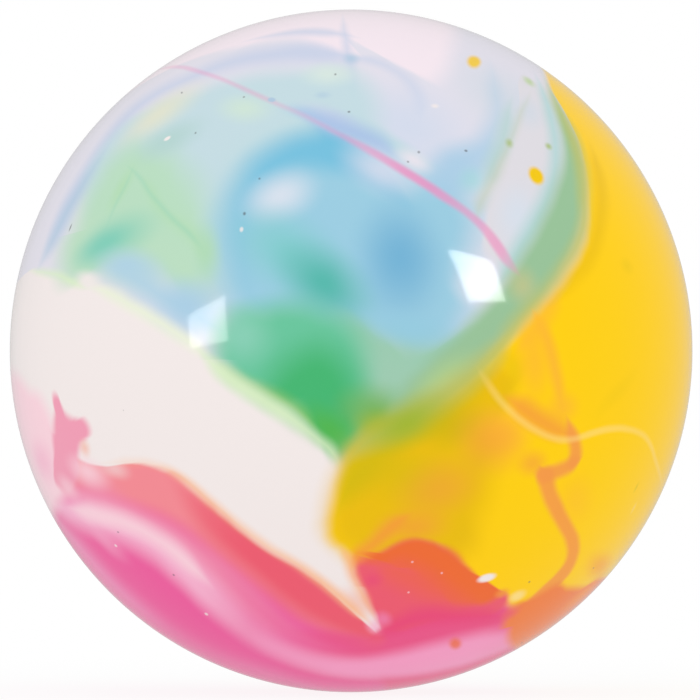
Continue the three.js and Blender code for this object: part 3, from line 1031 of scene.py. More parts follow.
# Front half: the pink thread and the yellow drops
THREAD_AND_DROPS: tuple[Pour, ...] = (
    Ribbon(P.THREAD_PINK, (
        (-23, 30.8, 0), (-19, 30.4, 0.4), (-16, 29.8, 0.35), (-13, 28.7, 0.3), (-10, 27.4, 0.3),
        (-6, 25.6, 0.3), (-2, 23.6, 0.3), (2.5, 21.1, 0.45), (6.6, 18.7, 0.5), (10.2, 16.3, 0.5),
        (12.4, 14.7, 0.45), (14.1, 13.1, 0.5), (15.6, 11.2, 0.6), (16.9, 9.4, 0.5), (18.6, 7.4, 0),
    ), soft=0.35, fades=(
        0.1, 0.3, 0.35, 0.35, 0.35, 0.25, 0.3, 0.55, 0.75, 0.65, 0.55, 0.6, 0.65, 0.45, 0,
    )),
    Drop(P.GOLD, (13.2, 30.9), (1.25, 2.2), -23, soft=0.6, strength=0.95),
    Drop(P.GOLD, (19.8, 18.7), (1.25, 1.5), 20, soft=0.5),
    Drop(P.OLIVE_LIME, (16.9, 22.2), (0.8, 1), strength=0.6),
    Drop(P.OLIVE_LIME, (21.1, 21.8), (0.8, 0.8), strength=0.7),
    Drop(P.LIME, (19, 28.8), (1.4, 1.6), strength=0.6),
)

# Front half: dark grains in the surface, each with its middle, half sizes, turn and strength
GRAINS: tuple[tuple[Spot, Spot, float, float], ...] = (
    ((-30, 13.2), (0.2, 0.75), -20, 0.75),
    ((-18.1, 27.6), (0.2, 0.35), 30, 0.6),
    ((-11.5, 27.2), (0.22, 0.22), 0, 0.6),
    ((-16.6, 23.3), (0.2, 0.25), 0, 0.6),
    ((-1.6, 29.6), (0.22, 0.3), 0, 0.6),
    ((-0.2, 25.5), (0.25, 0.22), 0, 0.7),
    ((-11.4, 14.7), (0.25, 0.3), 0, 0.7),
    ((-9.8, 18.4), (0.2, 0.2), 0, 0.6),
    ((7.2, 21.3), (0.25, 0.25), 0, 0.6),
    ((6, 20.3), (0.2, 0.2), 0, 0.6),
    ((12.2, 21.4), (0.3, 0.25), 0, 0.7),
    ((-24.9, -19.4), (0.25, 0.2), 0, 0.6),
    ((-19, -23.9), (0.25, 0.25), 0, 0.6),
    ((19.1, -24.7), (0.25, 0.25), 0, 0.6),
    ((25.9, -23.2), (0.22, 0.22), 0, 0.6),
    ((18.3, -31.2), (0.3, 0.5), 0, 0.6),
)

# Front half: the grains, with bubbles among them, and two painted highlights, one of them the glint of a
# pit
GRIT_AND_GLINTS: tuple[Pour, ...] = (
    *(Drop(P.DUST, at, size, turn, soft=0.8, strength=share) for at, size, turn, share in GRAINS),
    Drop(P.DUSTY_BLUE, (-8.5, 26.9), (0.7, 0.5), -20, soft=0.6, strength=0.9),
    # Painted highlight: a small white glint, as of a lamp mirrored in a pit
    Drop(P.WARM_WHITE, (-19.6, 22.7), (0.65, 0.4), 25, soft=0.6),
    Drop(P.WARM_WHITE, (-11.7, 13), (0.3, 0.4), soft=0.7, strength=0.8),
    # Painted highlight: a faint white glint of a lamp above the ball
    Drop(P.WARM_WHITE, (9, 26.2), (0.7, 0.5), soft=0.9, strength=0.8),
    *(
        Drop(P.BLUSH, at, (0.22, 0.22), soft=0.8, strength=0.6)
        for at in ((6.1, -25.8), (6.5, -22.6), (9.7, -23.8))
    ),
    Drop(P.WARM_WHITE, (-25.1, -20.9), (0.35, 0.3), soft=0.7, strength=0.7),
    Drop(P.WARM_WHITE, (-15.4, -28.2), (0.35, 0.35), soft=0.7, strength=0.7),
)

# Round the rim, out of sight from the front: what the front's colours run out into
RIM: tuple[Pour, ...] = (
    Ribbon(P.AMBER, (
        (39, 27, 0), (42, 18, 1.6), (40, 8, 2.2), (44, -2, 2), (41, -12, 1.8), (43, -24, 0),
    ), soft=2.2, strength=0.75),
    Ribbon(P.OLIVE_YELLOW, (
        (48, 26, 0), (45, 15, 1.2), (49, 5, 1.6), (46, -7, 1.4), (48, -19, 0),
    ), soft=2.4, strength=0.55),
    Ribbon(P.VEIN_ORANGE, (
        (50, 20, 0), (44.5, 15.4, 0.7), (42.6, 9, 0.8), (45.4, 2.6, 0.8), (45, -4, 0.8),
        (40.6, -9.4, 0.8), (39.6, -16, 0.8), (42, -25, 0),
    ), soft=0.6, strength=0.85),
    Ribbon(P.CREAM_YELLOW, (
        (37.6, -4, 0), (40, 0.6, 0.3), (43.6, 3.4, 0.3), (47, 3.2, 0.3), (51, -1, 0),
    ), soft=0.4, strength=0.6),
    Drop(P.ORANGE, (41, -17), (3, 6), 15, strength=0.5),
    Drop(P.CREAM_YELLOW, (39.6, 17), (2.4, 6), -20, strength=0.4),
    Ribbon(P.LAVENDER, (
        (-34, 28, 0), (-40, 21, 1.2), (-40.6, 12, 1.6), (-44, 4, 1.2), (-50, 0, 0),
    ), soft=2.2, strength=0.9),
    Ribbon(P.MINT, (
        (-36, 34, 0), (-43, 25, 2), (-46, 16, 2.6), (-46.6, 8, 2), (-52, 2, 0),
    ), soft=3.0, strength=0.9),
    Ribbon(P.MIST_BLUE, (
        (-39, 24, 0), (-42.6, 17, 1), (-42.8, 10, 1.2), (-46, 4, 0.9), (-52, -1, 0),
    ), soft=1.8, strength=0.85),
    Ribbon(P.PALE_LIME, (
        (-38, 7, 0), (-42, 3.4, 0.6), (-46, 0.6, 0.6), (-51, -1.4, 0),
    ), soft=1.0, strength=0.7),
    Ribbon(P.PINK, (
        (-37, -6.4, 0), (-40, -8.4, 0.8), (-43.6, -8.6, 1), (-47, -10, 0.8), (-53, -10.4, 0),
    ), soft=1.6, strength=0.65),
    Ribbon(P.CORAL, (
        (-35, -20, 0), (-39.6, -17.6, 1.4), (-44, -15.6, 1.8), (-49, -13.6, 1.6), (-57, -13, 0),
    ), soft=2.0, strength=0.85),
    Ribbon(P.PALE_PINK, (
        (-30, -30, 0), (-37, -25.6, 1.4), (-43, -21.6, 1.6), (-49, -21, 1.4), (-56, -25, 0),
    ), soft=2.2, strength=0.8),
    Ribbon(P.ICE_BLUE, (
        (-22, 42, 0), (-10, 46, 2.2), (4, 47.6, 2.4), (16, 44, 2), (28, 38, 0),
    ), soft=3.0, strength=0.9),
    Ribbon(P.LAVENDER, (
        (-18, 39, 0), (-8, 41, 0.9), (3, 42.6, 1.1), (14, 40, 0.9), (24, 34, 0),
    ), soft=1.6, strength=0.7),
    Ribbon(P.ROSE_MAGENTA, (
        (-26, -34, 0), (-12, -42, 2), (2, -45, 2.4), (16, -42, 2), (26, -36, 0),
    ), soft=2.4, strength=0.9),
    Ribbon(P.PALE_PINK, (
        (-24, -42, 0), (-10, -48.6, 1.6), (4, -51, 1.8), (18, -47, 1.4), (28, -40, 0),
    ), soft=2.2, strength=0.7),
)

# Rear half, as seen from behind: the pinks at the foot and the pearl ground over them
REAR_GROUND: tuple[Pour, ...] = (
    Pool(P.MAGENTA, (8, -32), (
        (-30, -26), (-16, -20), (0, -12), (12, -12), (22, -6), (34, -2), (52, -4), (50, -36), (14, -60),
        (-30, -54),
    ), soft=1.0),
    Ribbon(P.CORAL, (
        (-26, -30, 0), (-16, -26, 3), (-8, -22, 3.4), (2, -19.5, 3), (12, -21.5, 3.2), (22, -14.5, 3),
        (31, -10, 3), (44, -11, 0),
    ), soft=2.2),
    Ribbon(P.RED_ROSE, (
        (-10, -24, 0), (-2, -22.5, 2), (6, -23, 2.6), (13, -24, 2.8), (20, -19, 2.4), (27, -14.5, 2),
        (38, -13, 0),
    ), soft=2.4, strength=0.9),
    Ribbon(P.PALE_PINK, (
        (-24, -34, 0), (-12, -29, 1.8), (-2, -27.5, 2.2), (8, -29, 2.2), (17, -27, 2), (25, -21, 1.8),
        (38, -18, 0),
    ), soft=2.6, strength=0.9),
    Ribbon(P.BLUSH, (
        (-16, -30.5, 0), (-8, -28, 0.8), (0, -27.4, 1), (8, -28.8, 0.8), (18, -26.6, 0),
    ), soft=1.4, strength=0.8),
    Drop(P.ORANGE_RED, (12.6, -23.6), (5, 3), -15, strength=0.85),
    Drop(P.HOT_ROSE, (4, -33.5), (14, 3.6), 4, strength=0.6),
    Pool(P.WARM_WHITE, (4, 8), (
        (-42, -24), (-26, -29), (-17, -27), (-9, -21.2), (-3, -19), (2.2, -18.3), (7, -19.6), (12.4, -21),
        (17, -17.3), (22, -13), (26, -10.2), (31, -8.2), (36, -8.4), (42, -10.5), (54, -12), (58, 20),
        (30, 54), (0, 58), (-30, 52), (-54, 24), (-58, -10),
    ), soft=0.8),
    Ribbon(P.PEACH, (
        (-20, -29, 0), (-9, -21, 0.3), (-3, -18.8, 0.3), (2.2, -18.1, 0.3), (7, -19.4, 0.3),
        (12.4, -20.6, 0.3), (17, -17, 0.3), (22, -12.7, 0.3), (31, -8, 0.3), (42, -9.5, 0),
    ), soft=0.6, strength=0.6),
    Pool(P.LILAC_WHITE, (8, 18), (
        (-30, 6), (-14, -9), (-4, -6), (6, -8), (16, -6), (26, 0), (36, 4), (54, 6), (52, 30), (26, 52),
        (0, 56), (-30, 46),
    ), soft=2.6),
    Drop(P.ROSE_WHITE, (30, 20), (12, 9), 60, strength=0.8),
    Drop(P.PERIWINKLE, (12, 30), (18, 7), -12, strength=0.9),
    Drop(P.ICE_BLUE, (16, 14), (20, 16), 20, strength=0.95),
    Drop(P.MIST_GREEN, (6, -5), (12, 4), -8, strength=0.8),
    Ribbon(P.LAVENDER, (
        (-6, 33, 0), (4, 31.5, 1), (14, 30.5, 1.3), (24, 26, 1.2), (30, 18, 1), (33.5, 8, 0),
    ), soft=1.8, strength=0.8),
)

# Rear half: the blue swirl, the green beside it and the yellow
REAR_SWIRLS: tuple[Pour, ...] = (
    Ribbon(P.MID_BLUE, (
        (0, -4, 0), (3, 8, 3), (8, 17, 4), (14, 20.5, 4.4), (20, 18.5, 4.4), (25, 11, 4), (29, 3, 3),
        (33, -6, 0),
    ), soft=3.4, strength=0.85),
    Ribbon(P.SKY_BLUE, (
        (1.4, 0, 0), (4, 10, 1.8), (8, 18, 2.4), (14, 21.5, 2.6), (20, 19.5, 2.4), (25, 11, 2),
        (28, 4, 1.4), (31, -4, 0),
    ), soft=2.8, fades=(0.2, 0.7, 1, 1, 0.9, 0.8, 0.6, 0.2)),
    Drop(P.MID_BLUE, (21.6, 1.4), (7, 4.4), -25, strength=0.8),
    Drop(P.PEARL_BLUE, (14.4, 10.6), (6.5, 5), 20, strength=0.95),
    Drop(P.AQUA, (8, 10), (5, 6), -15, strength=0.75),
    Pool(P.MINT, (-6, 11), (
        (-14, 31), (-2, 29), (7, 22), (4, 11), (2, 0), (-8, -9), (-18, -8), (-18, 8), (-20, 22),
    ), soft=3.0, strength=0.95),
    Pool(P.SEA_GREEN, (-6, 11), (
        (-12.4, 28), (-2, 26), (4, 20.4), (0.6, 11), (-1.6, 0.7), (-8.6, -6.6), (-15.3, -6), (-13, 7.3),
        (-16, 20.4),
    ), soft=2.4, strength=0.9),
    Ribbon(P.LEAF, (
        (-3, 25, 0), (-2, 18, 1.6), (-4.4, 11, 2), (-5, 4, 1.8), (-9, -2, 1.4), (-14, -6, 0),
    ), soft=2.4, strength=0.9),
    Drop(P.TEAL, (-1.6, 21), (4, 3), 40, strength=0.7),
    Ribbon(P.PALE_LIME, (
        (0.6, 3, 0), (-1.4, -1, 0.4), (-5, -5.4, 0.5), (-9, -8.2, 0.5), (-14, -9, 0),
    ), soft=0.8, strength=0.8),
    Ribbon(P.SAGE, (
        (-22, 32, 0), (-17, 26.5, 1.2), (-12, 20, 1.6), (-8.6, 12, 1.8), (-10.8, 5, 1.8),
        (-12.6, -2, 1.6), (-12.2, -10, 1.4), (-17, -18, 1), (-26, -26, 0),
    ), soft=1.6, strength=0.95),
    Pool(P.YELLOW, (-30, 2), (
        (-54, 30), (-32, 29), (-25, 26.6), (-17, 22.6), (-12.4, 16.4), (-10, 10.6), (-11.6, 4.6),
        (-14, -1), (-14.2, -6), (-13.2, -11), (-16, -15.6), (-20, -19), (-27, -23), (-34, -26),
        (-54, -16), (-62, 4),
    ), soft=1.4),
    Ribbon(P.GOLD, (
        (-30, 27, 0), (-20, 22.6, 1.2), (-14.4, 15, 1.6), (-13.2, 8, 1.6), (-16, -1, 1.6),
        (-16, -10, 1.6), (-24, -20, 0),
    ), soft=1.6, strength=0.9),
    Drop(P.OLIVE_YELLOW, (-17.6, -3), (3, 9), 8, strength=0.5),
    Drop(P.AMBER, (-24, 10), (7, 5), 40, strength=0.7),
    Drop(P.ORANGE, (-21, -10.6), (5, 3), 30, strength=0.5),
    Ribbon(P.VEIN_ORANGE, (
        (-36, 20, 0), (-29, 17.4, 0.7), (-25.4, 12.6, 0.8), (-24.6, 7, 0.7), (-22, 2, 0.8),
        (-22.4, -4, 0.7), (-25.6, -9, 0.8), (-26, -15, 0.7), (-22, -22, 0),
    ), soft=0.5, strength=0.9),
    Ribbon(P.CREAM_YELLOW, (
        (-12, 4, 0), (-16, 6.4, 0.3), (-20, 6, 0.3), (-24, 3, 0.3), (-28, 1.6, 0.3), (-32, 3.4, 0.3),
        (-37, 8, 0),
    ), soft=0.35, strength=0.6),
    Ribbon(P.THREAD_PINK, (
        (-4, 31.5, 0), (2, 27.6, 0.35), (7, 23, 0.35), (11, 17, 0.4), (15.4, 11.6, 0.4), (21, 7, 0.4),
        (27, 2, 0.4), (33, -4, 0),
    ), soft=0.3, fades=(0.2, 0.5, 0.6, 0.8, 0.9, 0.8, 0.6, 0)),
    Drop(P.GOLD, (19.4, 26.4), (1.4, 1.7), 20, soft=0.5),
    Drop(P.GOLD, (10.2, 1.4), (1.1, 0.9), soft=0.5),
    Drop(P.LIME, (24.6, 15), (1, 1), strength=0.7),
    Drop(P.OLIVE_LIME, (6.4, 28.6), (0.9, 1.2), strength=0.7),
)


@dataclass(frozen=True)
class Region:
    """The pours of one part of the cover, as a node group.

    Attributes:
        name: The group's name.
        pours: What is poured there, from the lowest to the topmost.
        at_rear: Whether the places are seen from behind.
    """

    name: str
    pours: tuple[Pour, ...]
    at_rear: bool = False

    def build(self, view: BallView) -> bpy.types.NodeTree:
        """Builds the group.

        Args:
            view: How the places of the pours were read off.

        Returns:
            A group that lays the region's pours over a colour.
        """
        group = node_group(self.name, {"Place": "Vector", "Under": "Color"}, {"Color": "Color"})
        bench = NodeBench(group)
        given = bench.add("NodeGroupInput").outputs
        color = given["Under"]
        for pour in self.pours:
            share = pour.mask(bench, given["Place"], view)
            color = bench.blend(color, pour.pigment.linear, share)
        result = bench.add("NodeGroupOutput")
        bench.feed(result.inputs["Color"], color)
        return group


REGIONS = (
    Region("rear_ground_pours", REAR_GROUND, at_rear=True),
    Region("rear_swirl_pours", REAR_SWIRLS, at_rear=True),
    Region("foot_pours", FOOT),
    Region("upper_left_pours", UPPER_LEFT),
    Region("middle_pours", MIDDLE),
    Region("upper_right_pours", UPPER_RIGHT),
    Region("right_pours", RIGHT),
    Region("lower_right_pours", LOWER_RIGHT),
    Region("thread_and_drops", THREAD_AND_DROPS),
    Region("grit_and_glints", GRIT_AND_GLINTS),
    Region("rim_pours", RIM),
)


@dataclass
class Marbling:
    """The cover's colours, as one node group.

    Attributes:
        view: How the places of the pours were read off.
        regions: What is poured where, in order.
        front_stray: How far the lines of the pours stray at the front, in millimetres.
        rear_stray: How far they stray at the rear.
        stray_scale: How often they stray along the ball's radius.
        stray_grows: Between which places the straying grows, in ball radii behind the seam.
        name: The group's name.
    """

    view: BallView
    regions: tuple[Region, ...] = REGIONS
    front_stray: float = 0.6
    rear_stray: float = 2.2
    stray_scale: float = 5.0
    stray_grows: Spot = (-0.1, 0.8)
    name: str = "marbling"

    NOISE_MIDDLE = 0.5

    def build(self) -> bpy.types.NodeTree:
        """Builds the group.

        Returns:
            A group that turns a position on the ball into its colour.
        """
        group = node_group(self.name, {"Position": "Vector"}, {"Color": "Color"})
        bench = NodeBench(group)
        given = bench.add("NodeGroupInput")
        unit = bench.vector("NORMALIZE", given.outputs["Position"])
        front_place, rear_place = self.places(bench, unit)
        color: object = Pigment.WARM_WHITE.linear
        for region in self.regions:
            poured = bench.add("ShaderNodeGroup", node_tree=region.build(self.view))
            bench.feed(poured.inputs["Place"], rear_place if region.at_rear else front_place)
            bench.feed(poured.inputs["Under"], color)
            color = poured.outputs["Color"]
        result = bench.add("NodeGroupOutput")
        bench.feed(result.inputs["Color"], color)
        return group

    def places(self, bench: NodeBench, unit: Socket) -> tuple[Socket, Socket]:
        """Unrolls the ball about its front and its rear pole.

        Args:
            bench: Where the nodes go.
            unit: The direction from the ball's middle.

        Returns:
            The place on the unrolled front half and on the unrolled rear half, in millimetres.
        """
        x, y, z = bench.split(unit)
        to_front = bench.math("ARCCOSINE", bench.math("MULTIPLY", y, -1.0))
        flat = bench.joined(x, z)
        ring = bench.vector("LENGTH", flat, out="Value")
        straying = bench.noise(unit, self.stray_scale).outputs["Color"]
        centred = (-self.NOISE_MIDDLE, -self.NOISE_MIDDLE, 0.0)
        flat_stray = bench.vector("MULTIPLY_ADD", straying, (1.0, 1.0, 0.0), centred)
        more = bench.fade(y, *self.stray_grows, self.rear_stray - self.front_stray)
        stray = bench.scaled(flat_stray, bench.math("ADD", more, self.front_stray))
        front_arc = bench.math("MULTIPLY", to_front, self.view.radius)
        front_place = bench.scaled(flat, bench.math("DIVIDE", front_arc, ring))
        to_rear = bench.math("SUBTRACT", math.pi, to_front)
        rear_arc = bench.math("MULTIPLY", to_rear, self.view.radius)
        mirrored = bench.joined(bench.math("MULTIPLY", x, -1.0), z)
        rear_place = bench.scaled(mirrored, bench.math("DIVIDE", rear_arc, ring))
        return bench.vector("ADD", front_place, stray), bench.vector("ADD", rear_place, stray)


@dataclass(frozen=True)
class MouldFlaws:
    """What a used mould leaves on the plastic, as one node group.

    Attributes:
        name: The group's name.
        dust_scale: How many places for a speck there are along a metre.
        dust_share: The share of those places that hold one.
        dust_size: A speck's radius, in the spacing of those places.
        ripple_scale: Ripples along a metre.
        grain_scale: Fine scuffs along a metre.
        grain_share: How high those are, in ripples.
        grain_detail: How many finer layers the scuffs have.
        grain_roughness: How strong those layers are.
        patchiness: How far the gloss changes from ripple to ripple, as a share of it.
        pit: How deep a speck lies, in ripples.
    """

    name: str = "mould_flaws"
    dust_scale: float = 420.0
    dust_share: float = 0.035
    dust_size: float = 0.09
    ripple_scale: float = 260.0
    grain_scale: float = 1500.0
    grain_share: float = 0.25
    grain_detail: float = 3.0
    grain_roughness: float = 0.6
    patchiness: float = 0.3
    pit: float = 0.5

    def build(self) -> bpy.types.NodeTree:
        """Builds the group.

        Returns:
            A group that gives the specks' mask, the roughness and the height at a position.
        """
        group = node_group(
            self.name,
            {"Position": "Vector", "Roughness": "Float"},
            {"Specks": "Float", "Roughness": "Float", "Height": "Float"},
        )
        bench = NodeBench(group)
        given = bench.add("NodeGroupInput")
        position = given.outputs["Position"]
        cells = bench.add("ShaderNodeTexVoronoi")
        bench.feed(cells.inputs["Vector"], position)
        cells.inputs["Scale"].default_value = self.dust_scale
        chance, size, _ = bench.split(cells.outputs["Color"])
        here = bench.math("LESS_THAN", chance, self.dust_share)
        reach = bench.math("MULTIPLY", size, self.dust_size)
        near = bench.math("SUBTRACT", reach, cells.outputs["Distance"])
        specks = bench.math("MULTIPLY", here, bench.fade(near, 0.0, self.dust_size / 2))
        ripple = bench.noise(position, self.ripple_scale).outputs["Fac"]
        patchy = bench.math("MULTIPLY_ADD", ripple, self.patchiness, 1 - self.patchiness / 2)
        roughness = bench.math("MULTIPLY", given.outputs["Roughness"], patchy)
        scuffs = bench.noise(position, self.grain_scale, self.grain_detail, self.grain_roughness)
        grain = scuffs.outputs["Fac"]
        rough_height = bench.math("MULTIPLY_ADD", grain, self.grain_share, ripple)
        height = bench.math("MULTIPLY_ADD", specks, -self.pit, rough_height)
        result = bench.add("NodeGroupOutput")
        bench.feed(result.inputs["Specks"], specks)
        bench.feed(result.inputs["Roughness"], roughness)
        bench.feed(result.inputs["Height"], height)
        return group


@dataclass(frozen=True)
class PlasticFinish:
    """Glossy moulded plastic, marbled or plain.

    Attributes:
        name: The material's name.
        roughness: How much the surface blurs what it mirrors.
        shine: The specular level.
        dust: How much the specks show.
        ripple: The height of the surface's ripples, in metres.
    """

    name: str
    roughness: float = 0.075
    shine: float = 0.16
    dust: float = 0.4
    ripple: float = 0.000004

    def build(self, flaws: bpy.types.NodeTree, marbling: bpy.types.NodeTree | None) -> bpy.types.Material:
        """Builds the material.

        Args:
            flaws: The node group of the mould's flaws.
            marbling: The marbling's node group, or none for plain white.

        Returns:
            The material.
        """
        material, bench = bare_material(self.name)
        position = bench.add("ShaderNodeTexCoord").outputs["Object"]
        color: object = Pigment.WARM_WHITE.linear
        if marbling:
            swirl = bench.add("ShaderNodeGroup", node_tree=marbling)
            bench.feed(swirl.inputs["Position"], position)
            color = swirl.outputs["Color"]
        surface = bench.add("ShaderNodeGroup", node_tree=flaws)
        bench.feed(surface.inputs["Position"], position)
        surface.inputs["Roughness"].default_value = self.roughness
        specks = bench.math("MULTIPLY", surface.outputs["Specks"], self.dust)
        bump = bench.add("ShaderNodeBump")
        bump.inputs["Distance"].default_value = self.ripple
        bench.feed(bump.inputs["Height"], surface.outputs["Height"])
        plastic = bench.add("ShaderNodeBsdfPrincipled")
        bench.feed(plastic.inputs["Base Color"], bench.blend(color, Pigment.DUST.linear, specks))
        bench.feed(plastic.inputs["Roughness"], surface.outputs["Roughness"])
        bench.feed(plastic.inputs["Normal"], bump.outputs["Normal"])
        plastic.inputs["Specular IOR Level"].default_value = self.shine
        output = bench.add("ShaderNodeOutputMaterial")
        bench.feed(output.inputs["Surface"], plastic.outputs["BSDF"])
        return material


@dataclass(frozen=True)
class CorkFinish:
    """Bonded cork grains with crumbs of rubber among them.

    Attributes:
        name: The material's name.
        grains: Grains along a metre.
        dark_share: How dark the darkest grain of cork is, from light cork to dark.
        rubber_share: The share of the grains that are rubber.
        roughness: How much the surface blurs what it mirrors.
        shine: The specular level.
    """

    name: str = "bonded_cork"
    grains: float = 480.0
    dark_share: float = 0.7
    rubber_share: float = 0.14
    roughness: float = 0.85
    shine: float = 0.2

    def build(self) -> bpy.types.Material:
        """Builds the material.

        Returns:
            The material.
        """
        material, bench = bare_material(self.name)
        position = bench.add("ShaderNodeTexCoord").outputs["Object"]
        cells = bench.add("ShaderNodeTexVoronoi")
        bench.feed(cells.inputs["Vector"], position)
        cells.inputs["Scale"].default_value = self.grains
        tone, kind, _ = bench.split(cells.outputs["Color"])
        darkness = bench.math("MULTIPLY", tone, self.dark_share)
        cork = bench.blend(Pigment.CORK.linear, Pigment.CORK_DARK.linear, darkness)
        crumbs = bench.math("LESS_THAN", kind, self.rubber_share)
        granules = bench.add("ShaderNodeBsdfPrincipled")
        bench.feed(granules.inputs["Base Color"], bench.blend(cork, Pigment.RUBBER.linear, crumbs))
        granules.inputs["Roughness"].default_value = self.roughness
        granules.inputs["Specular IOR Level"].default_value = self.shine
        output = bench.add("ShaderNodeOutputMaterial")
        bench.feed(output.inputs["Surface"], granules.outputs["BSDF"])
        return material


class Seam(Enum):
    """What a half of the cover has at the seam."""

    LIP = "lip"
    REBATE = "rebate"


@dataclass
class CoverHalf:
    """One moulded half of the cover.

    Attributes:
        name: The piece's name.
        stands_for: The CAD nodes that it replaces.
        radius: The ball's radius, in metres.
        cavity: The radius of the hollow for the core.
        lip_height: How far the lip reaches past the seam.
        seam: Whether this half has the lip or the rebate.
        lip_radius: The lip's outer radius.
        clearance: The bond's thickness between the lip and the rebate.
        edge: The radius of the rounded edge at the parting line.
    """

    name: str
    stands_for: tuple[str, ...]
    radius: float
    cavity: float
    lip_height: float
    seam: Seam
    lip_radius: float = 32.7 * MM
    clearance: float = 0.3 * MM
    edge: float = 0.09 * MM

    ROUND_STEPS = 224
    ARC_STEPS = 64
    EDGE_STEPS = 3
    INNER_STEPS = 24
    SHARP_FROM = math.radians(45)
    UV_NAME = "OFBake"
    SHOWN_DISC = ((0.5, 0.5), 0.49)
    HIDDEN_DISC = ((0.07, 0.07), 0.054)

    @property
    def side(self) -> float:
        """The way along Y in which the half bulges: the lip is on the front one."""
        return -1.0 if self.seam is Seam.LIP else 1.0

    def outer_profile(self) -> list[Spot]:
        """Draws the face that shows, from beside the pole to the seam.

        Returns:
            Radius and height over the seam at each step.
        """
        rows = []
        last = math.pi / 2 - self.edge / self.radius
        for i in range(1, self.ARC_STEPS + 1):
            angle = last * i / self.ARC_STEPS
            rows.append((self.radius * math.sin(angle), self.radius * math.cos(angle)))
        for i in range(1, self.EDGE_STEPS + 1):
            angle = math.pi / 2 * i / self.EDGE_STEPS
            reach = self.radius - self.edge * (1 - math.cos(angle))
            rows.append((reach, self.edge * (1 - math.sin(angle))))
        return rows

    def inner_profile(self) -> list[Spot]:
        """Draws the faces that don't show: the seam's step and the hollow, to beside its pole.

        Returns:
            Radius and height over the seam at each step.
        """
        if self.seam is Seam.LIP:
            start = 0.0
            tip = -self.lip_height
            rows = [(self.lip_radius, 0.0), (self.lip_radius, tip), (self.cavity, tip)]
        else:
            depth = self.lip_height + self.clearance
            start = math.asin(depth / self.cavity)
            rows = [(self.lip_radius + self.clearance, 0.0), (self.lip_radius + self.clearance, depth)]
        for i in range(self.INNER_STEPS):
            angle = start + (math.pi / 2 - start) * i / self.INNER_STEPS
            rows.append((self.cavity * math.cos(angle), self.cavity * math.sin(angle)))
        return rows

    def build(self) -> bpy.types.Object:
        """Builds the half as one closed mesh.

        Returns:
            The object, with the face that shows at material index 0 and the rest at index 1.
        """
        shape = bmesh.new()
        outer = self.outer_profile()
        profile = outer + self.inner_profile()
        rings = [self.ring(shape, reach, self.side * height) for reach, height in profile]
        top = shape.verts.new((0.0, self.side * self.radius, 0.0))
        hollow = shape.verts.new((0.0, self.side * self.cavity, 0.0))
        for j in range(self.ROUND_STEPS):
            k = (j + 1) % self.ROUND_STEPS
            shape.faces.new((top, rings[0][j], rings[0][k]))
            shape.faces.new((hollow, rings[-1][k], rings[-1][j])).material_index = 1
            for i, (near, far) in enumerate(zip(rings, rings[1:])):
                face = shape.faces.new((near[j], far[j], far[k], near[k]))
                face.material_index = 0 if i < len(outer) - 1 else 1
        bmesh.ops.recalc_face_normals(shape, faces=shape.faces)
        self.unwrap(shape)
        mesh = smooth_mesh(self.name, shape)
        mesh.set_sharp_from_angle(angle=self.SHARP_FROM)
        return placed(self.name, mesh)

    def ring(self, shape: bmesh.types.BMesh, reach: float, height: float) -> list[bmesh.types.BMVert]:
        """Adds one ring of points round the Y axis.

        Args:
            shape: The mesh being built.
            reach: The ring's radius.
            height: Its place along Y.

        Returns:
            The ring's points.
        """
        turns = (math.tau * j / self.ROUND_STEPS for j in range(self.ROUND_STEPS))
        return [shape.verts.new((reach * math.cos(t), height, reach * math.sin(t))) for t in turns]

    def unwrap(self, shape: bmesh.types.BMesh) -> None:
        """Lays the face that shows into one disc and the hidden faces into a small one beside it.

        Args:
            shape: The mesh being built.
        """
        layer = shape.loops.layers.uv.new(self.UV_NAME)
        for face in shape.faces:
            (u, v), size = self.HIDDEN_DISC if face.material_index else self.SHOWN_DISC
            for loop in face.loops:
                x, y, z = loop.vert.co
                across = math.hypot(x, z)
                share = math.atan2(across, self.side * y) / (math.pi / 2)
                reach = size * share / across if across else 0.0
                loop[layer].uv = (u + x * reach, v + z * reach)

    def dress(self, piece: bpy.types.Object, shown: bpy.types.Material, hidden: bpy.types.Material) -> None:
        """Gives the half its finishes and its place in the frame.

        Args:
            piece: The half.
            shown: The finish of the face that shows.
            hidden: The finish of the faces that don't.
        """
        piece.data.materials.append(shown)
        piece.data.materials.append(hidden)
        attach(piece, BODY)
        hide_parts(*self.stands_for)


@dataclass
class CorkCore:
    """The ball of bonded cork inside the cover.

    Attributes:
        radius: Its radius, in metres.
        name: The piece's name.
        stands_for: The CAD node that it replaces.
        grain: The size of a grain.
        roughness: How deep the pits between grains are.
    """

    radius: float
    name: str = "granular_core"
    stands_for: str = "cork_core"
    grain: float = 2.4 * MM
    roughness: float = 0.45 * MM

    FINENESS = 6

    def build(self) -> bpy.types.Object:
        """Builds the core with its grainy face.

        Returns:
            The object.
        """
        shape = bmesh.new()
        bmesh.ops.create_icosphere(shape, subdivisions=self.FINENESS, radius=self.radius)
        for point in shape.verts:
            near, *_ = noise.voronoi(point.co / self.grain)[0]
            pit = self.roughness * min(near * near, 1.0)
            point.co *= 1.0 - pit / self.radius
        return placed(self.name, smooth_mesh(self.name, shape))

    def dress(self, piece: bpy.types.Object, finish: bpy.types.Material) -> None:
        """Gives the core its finish and its place in the frame.

        Args:
            piece: The core.
            finish: Its finish.
        """
        piece.data.materials.append(finish)
        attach(piece, BODY)
        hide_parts(self.stands_for)


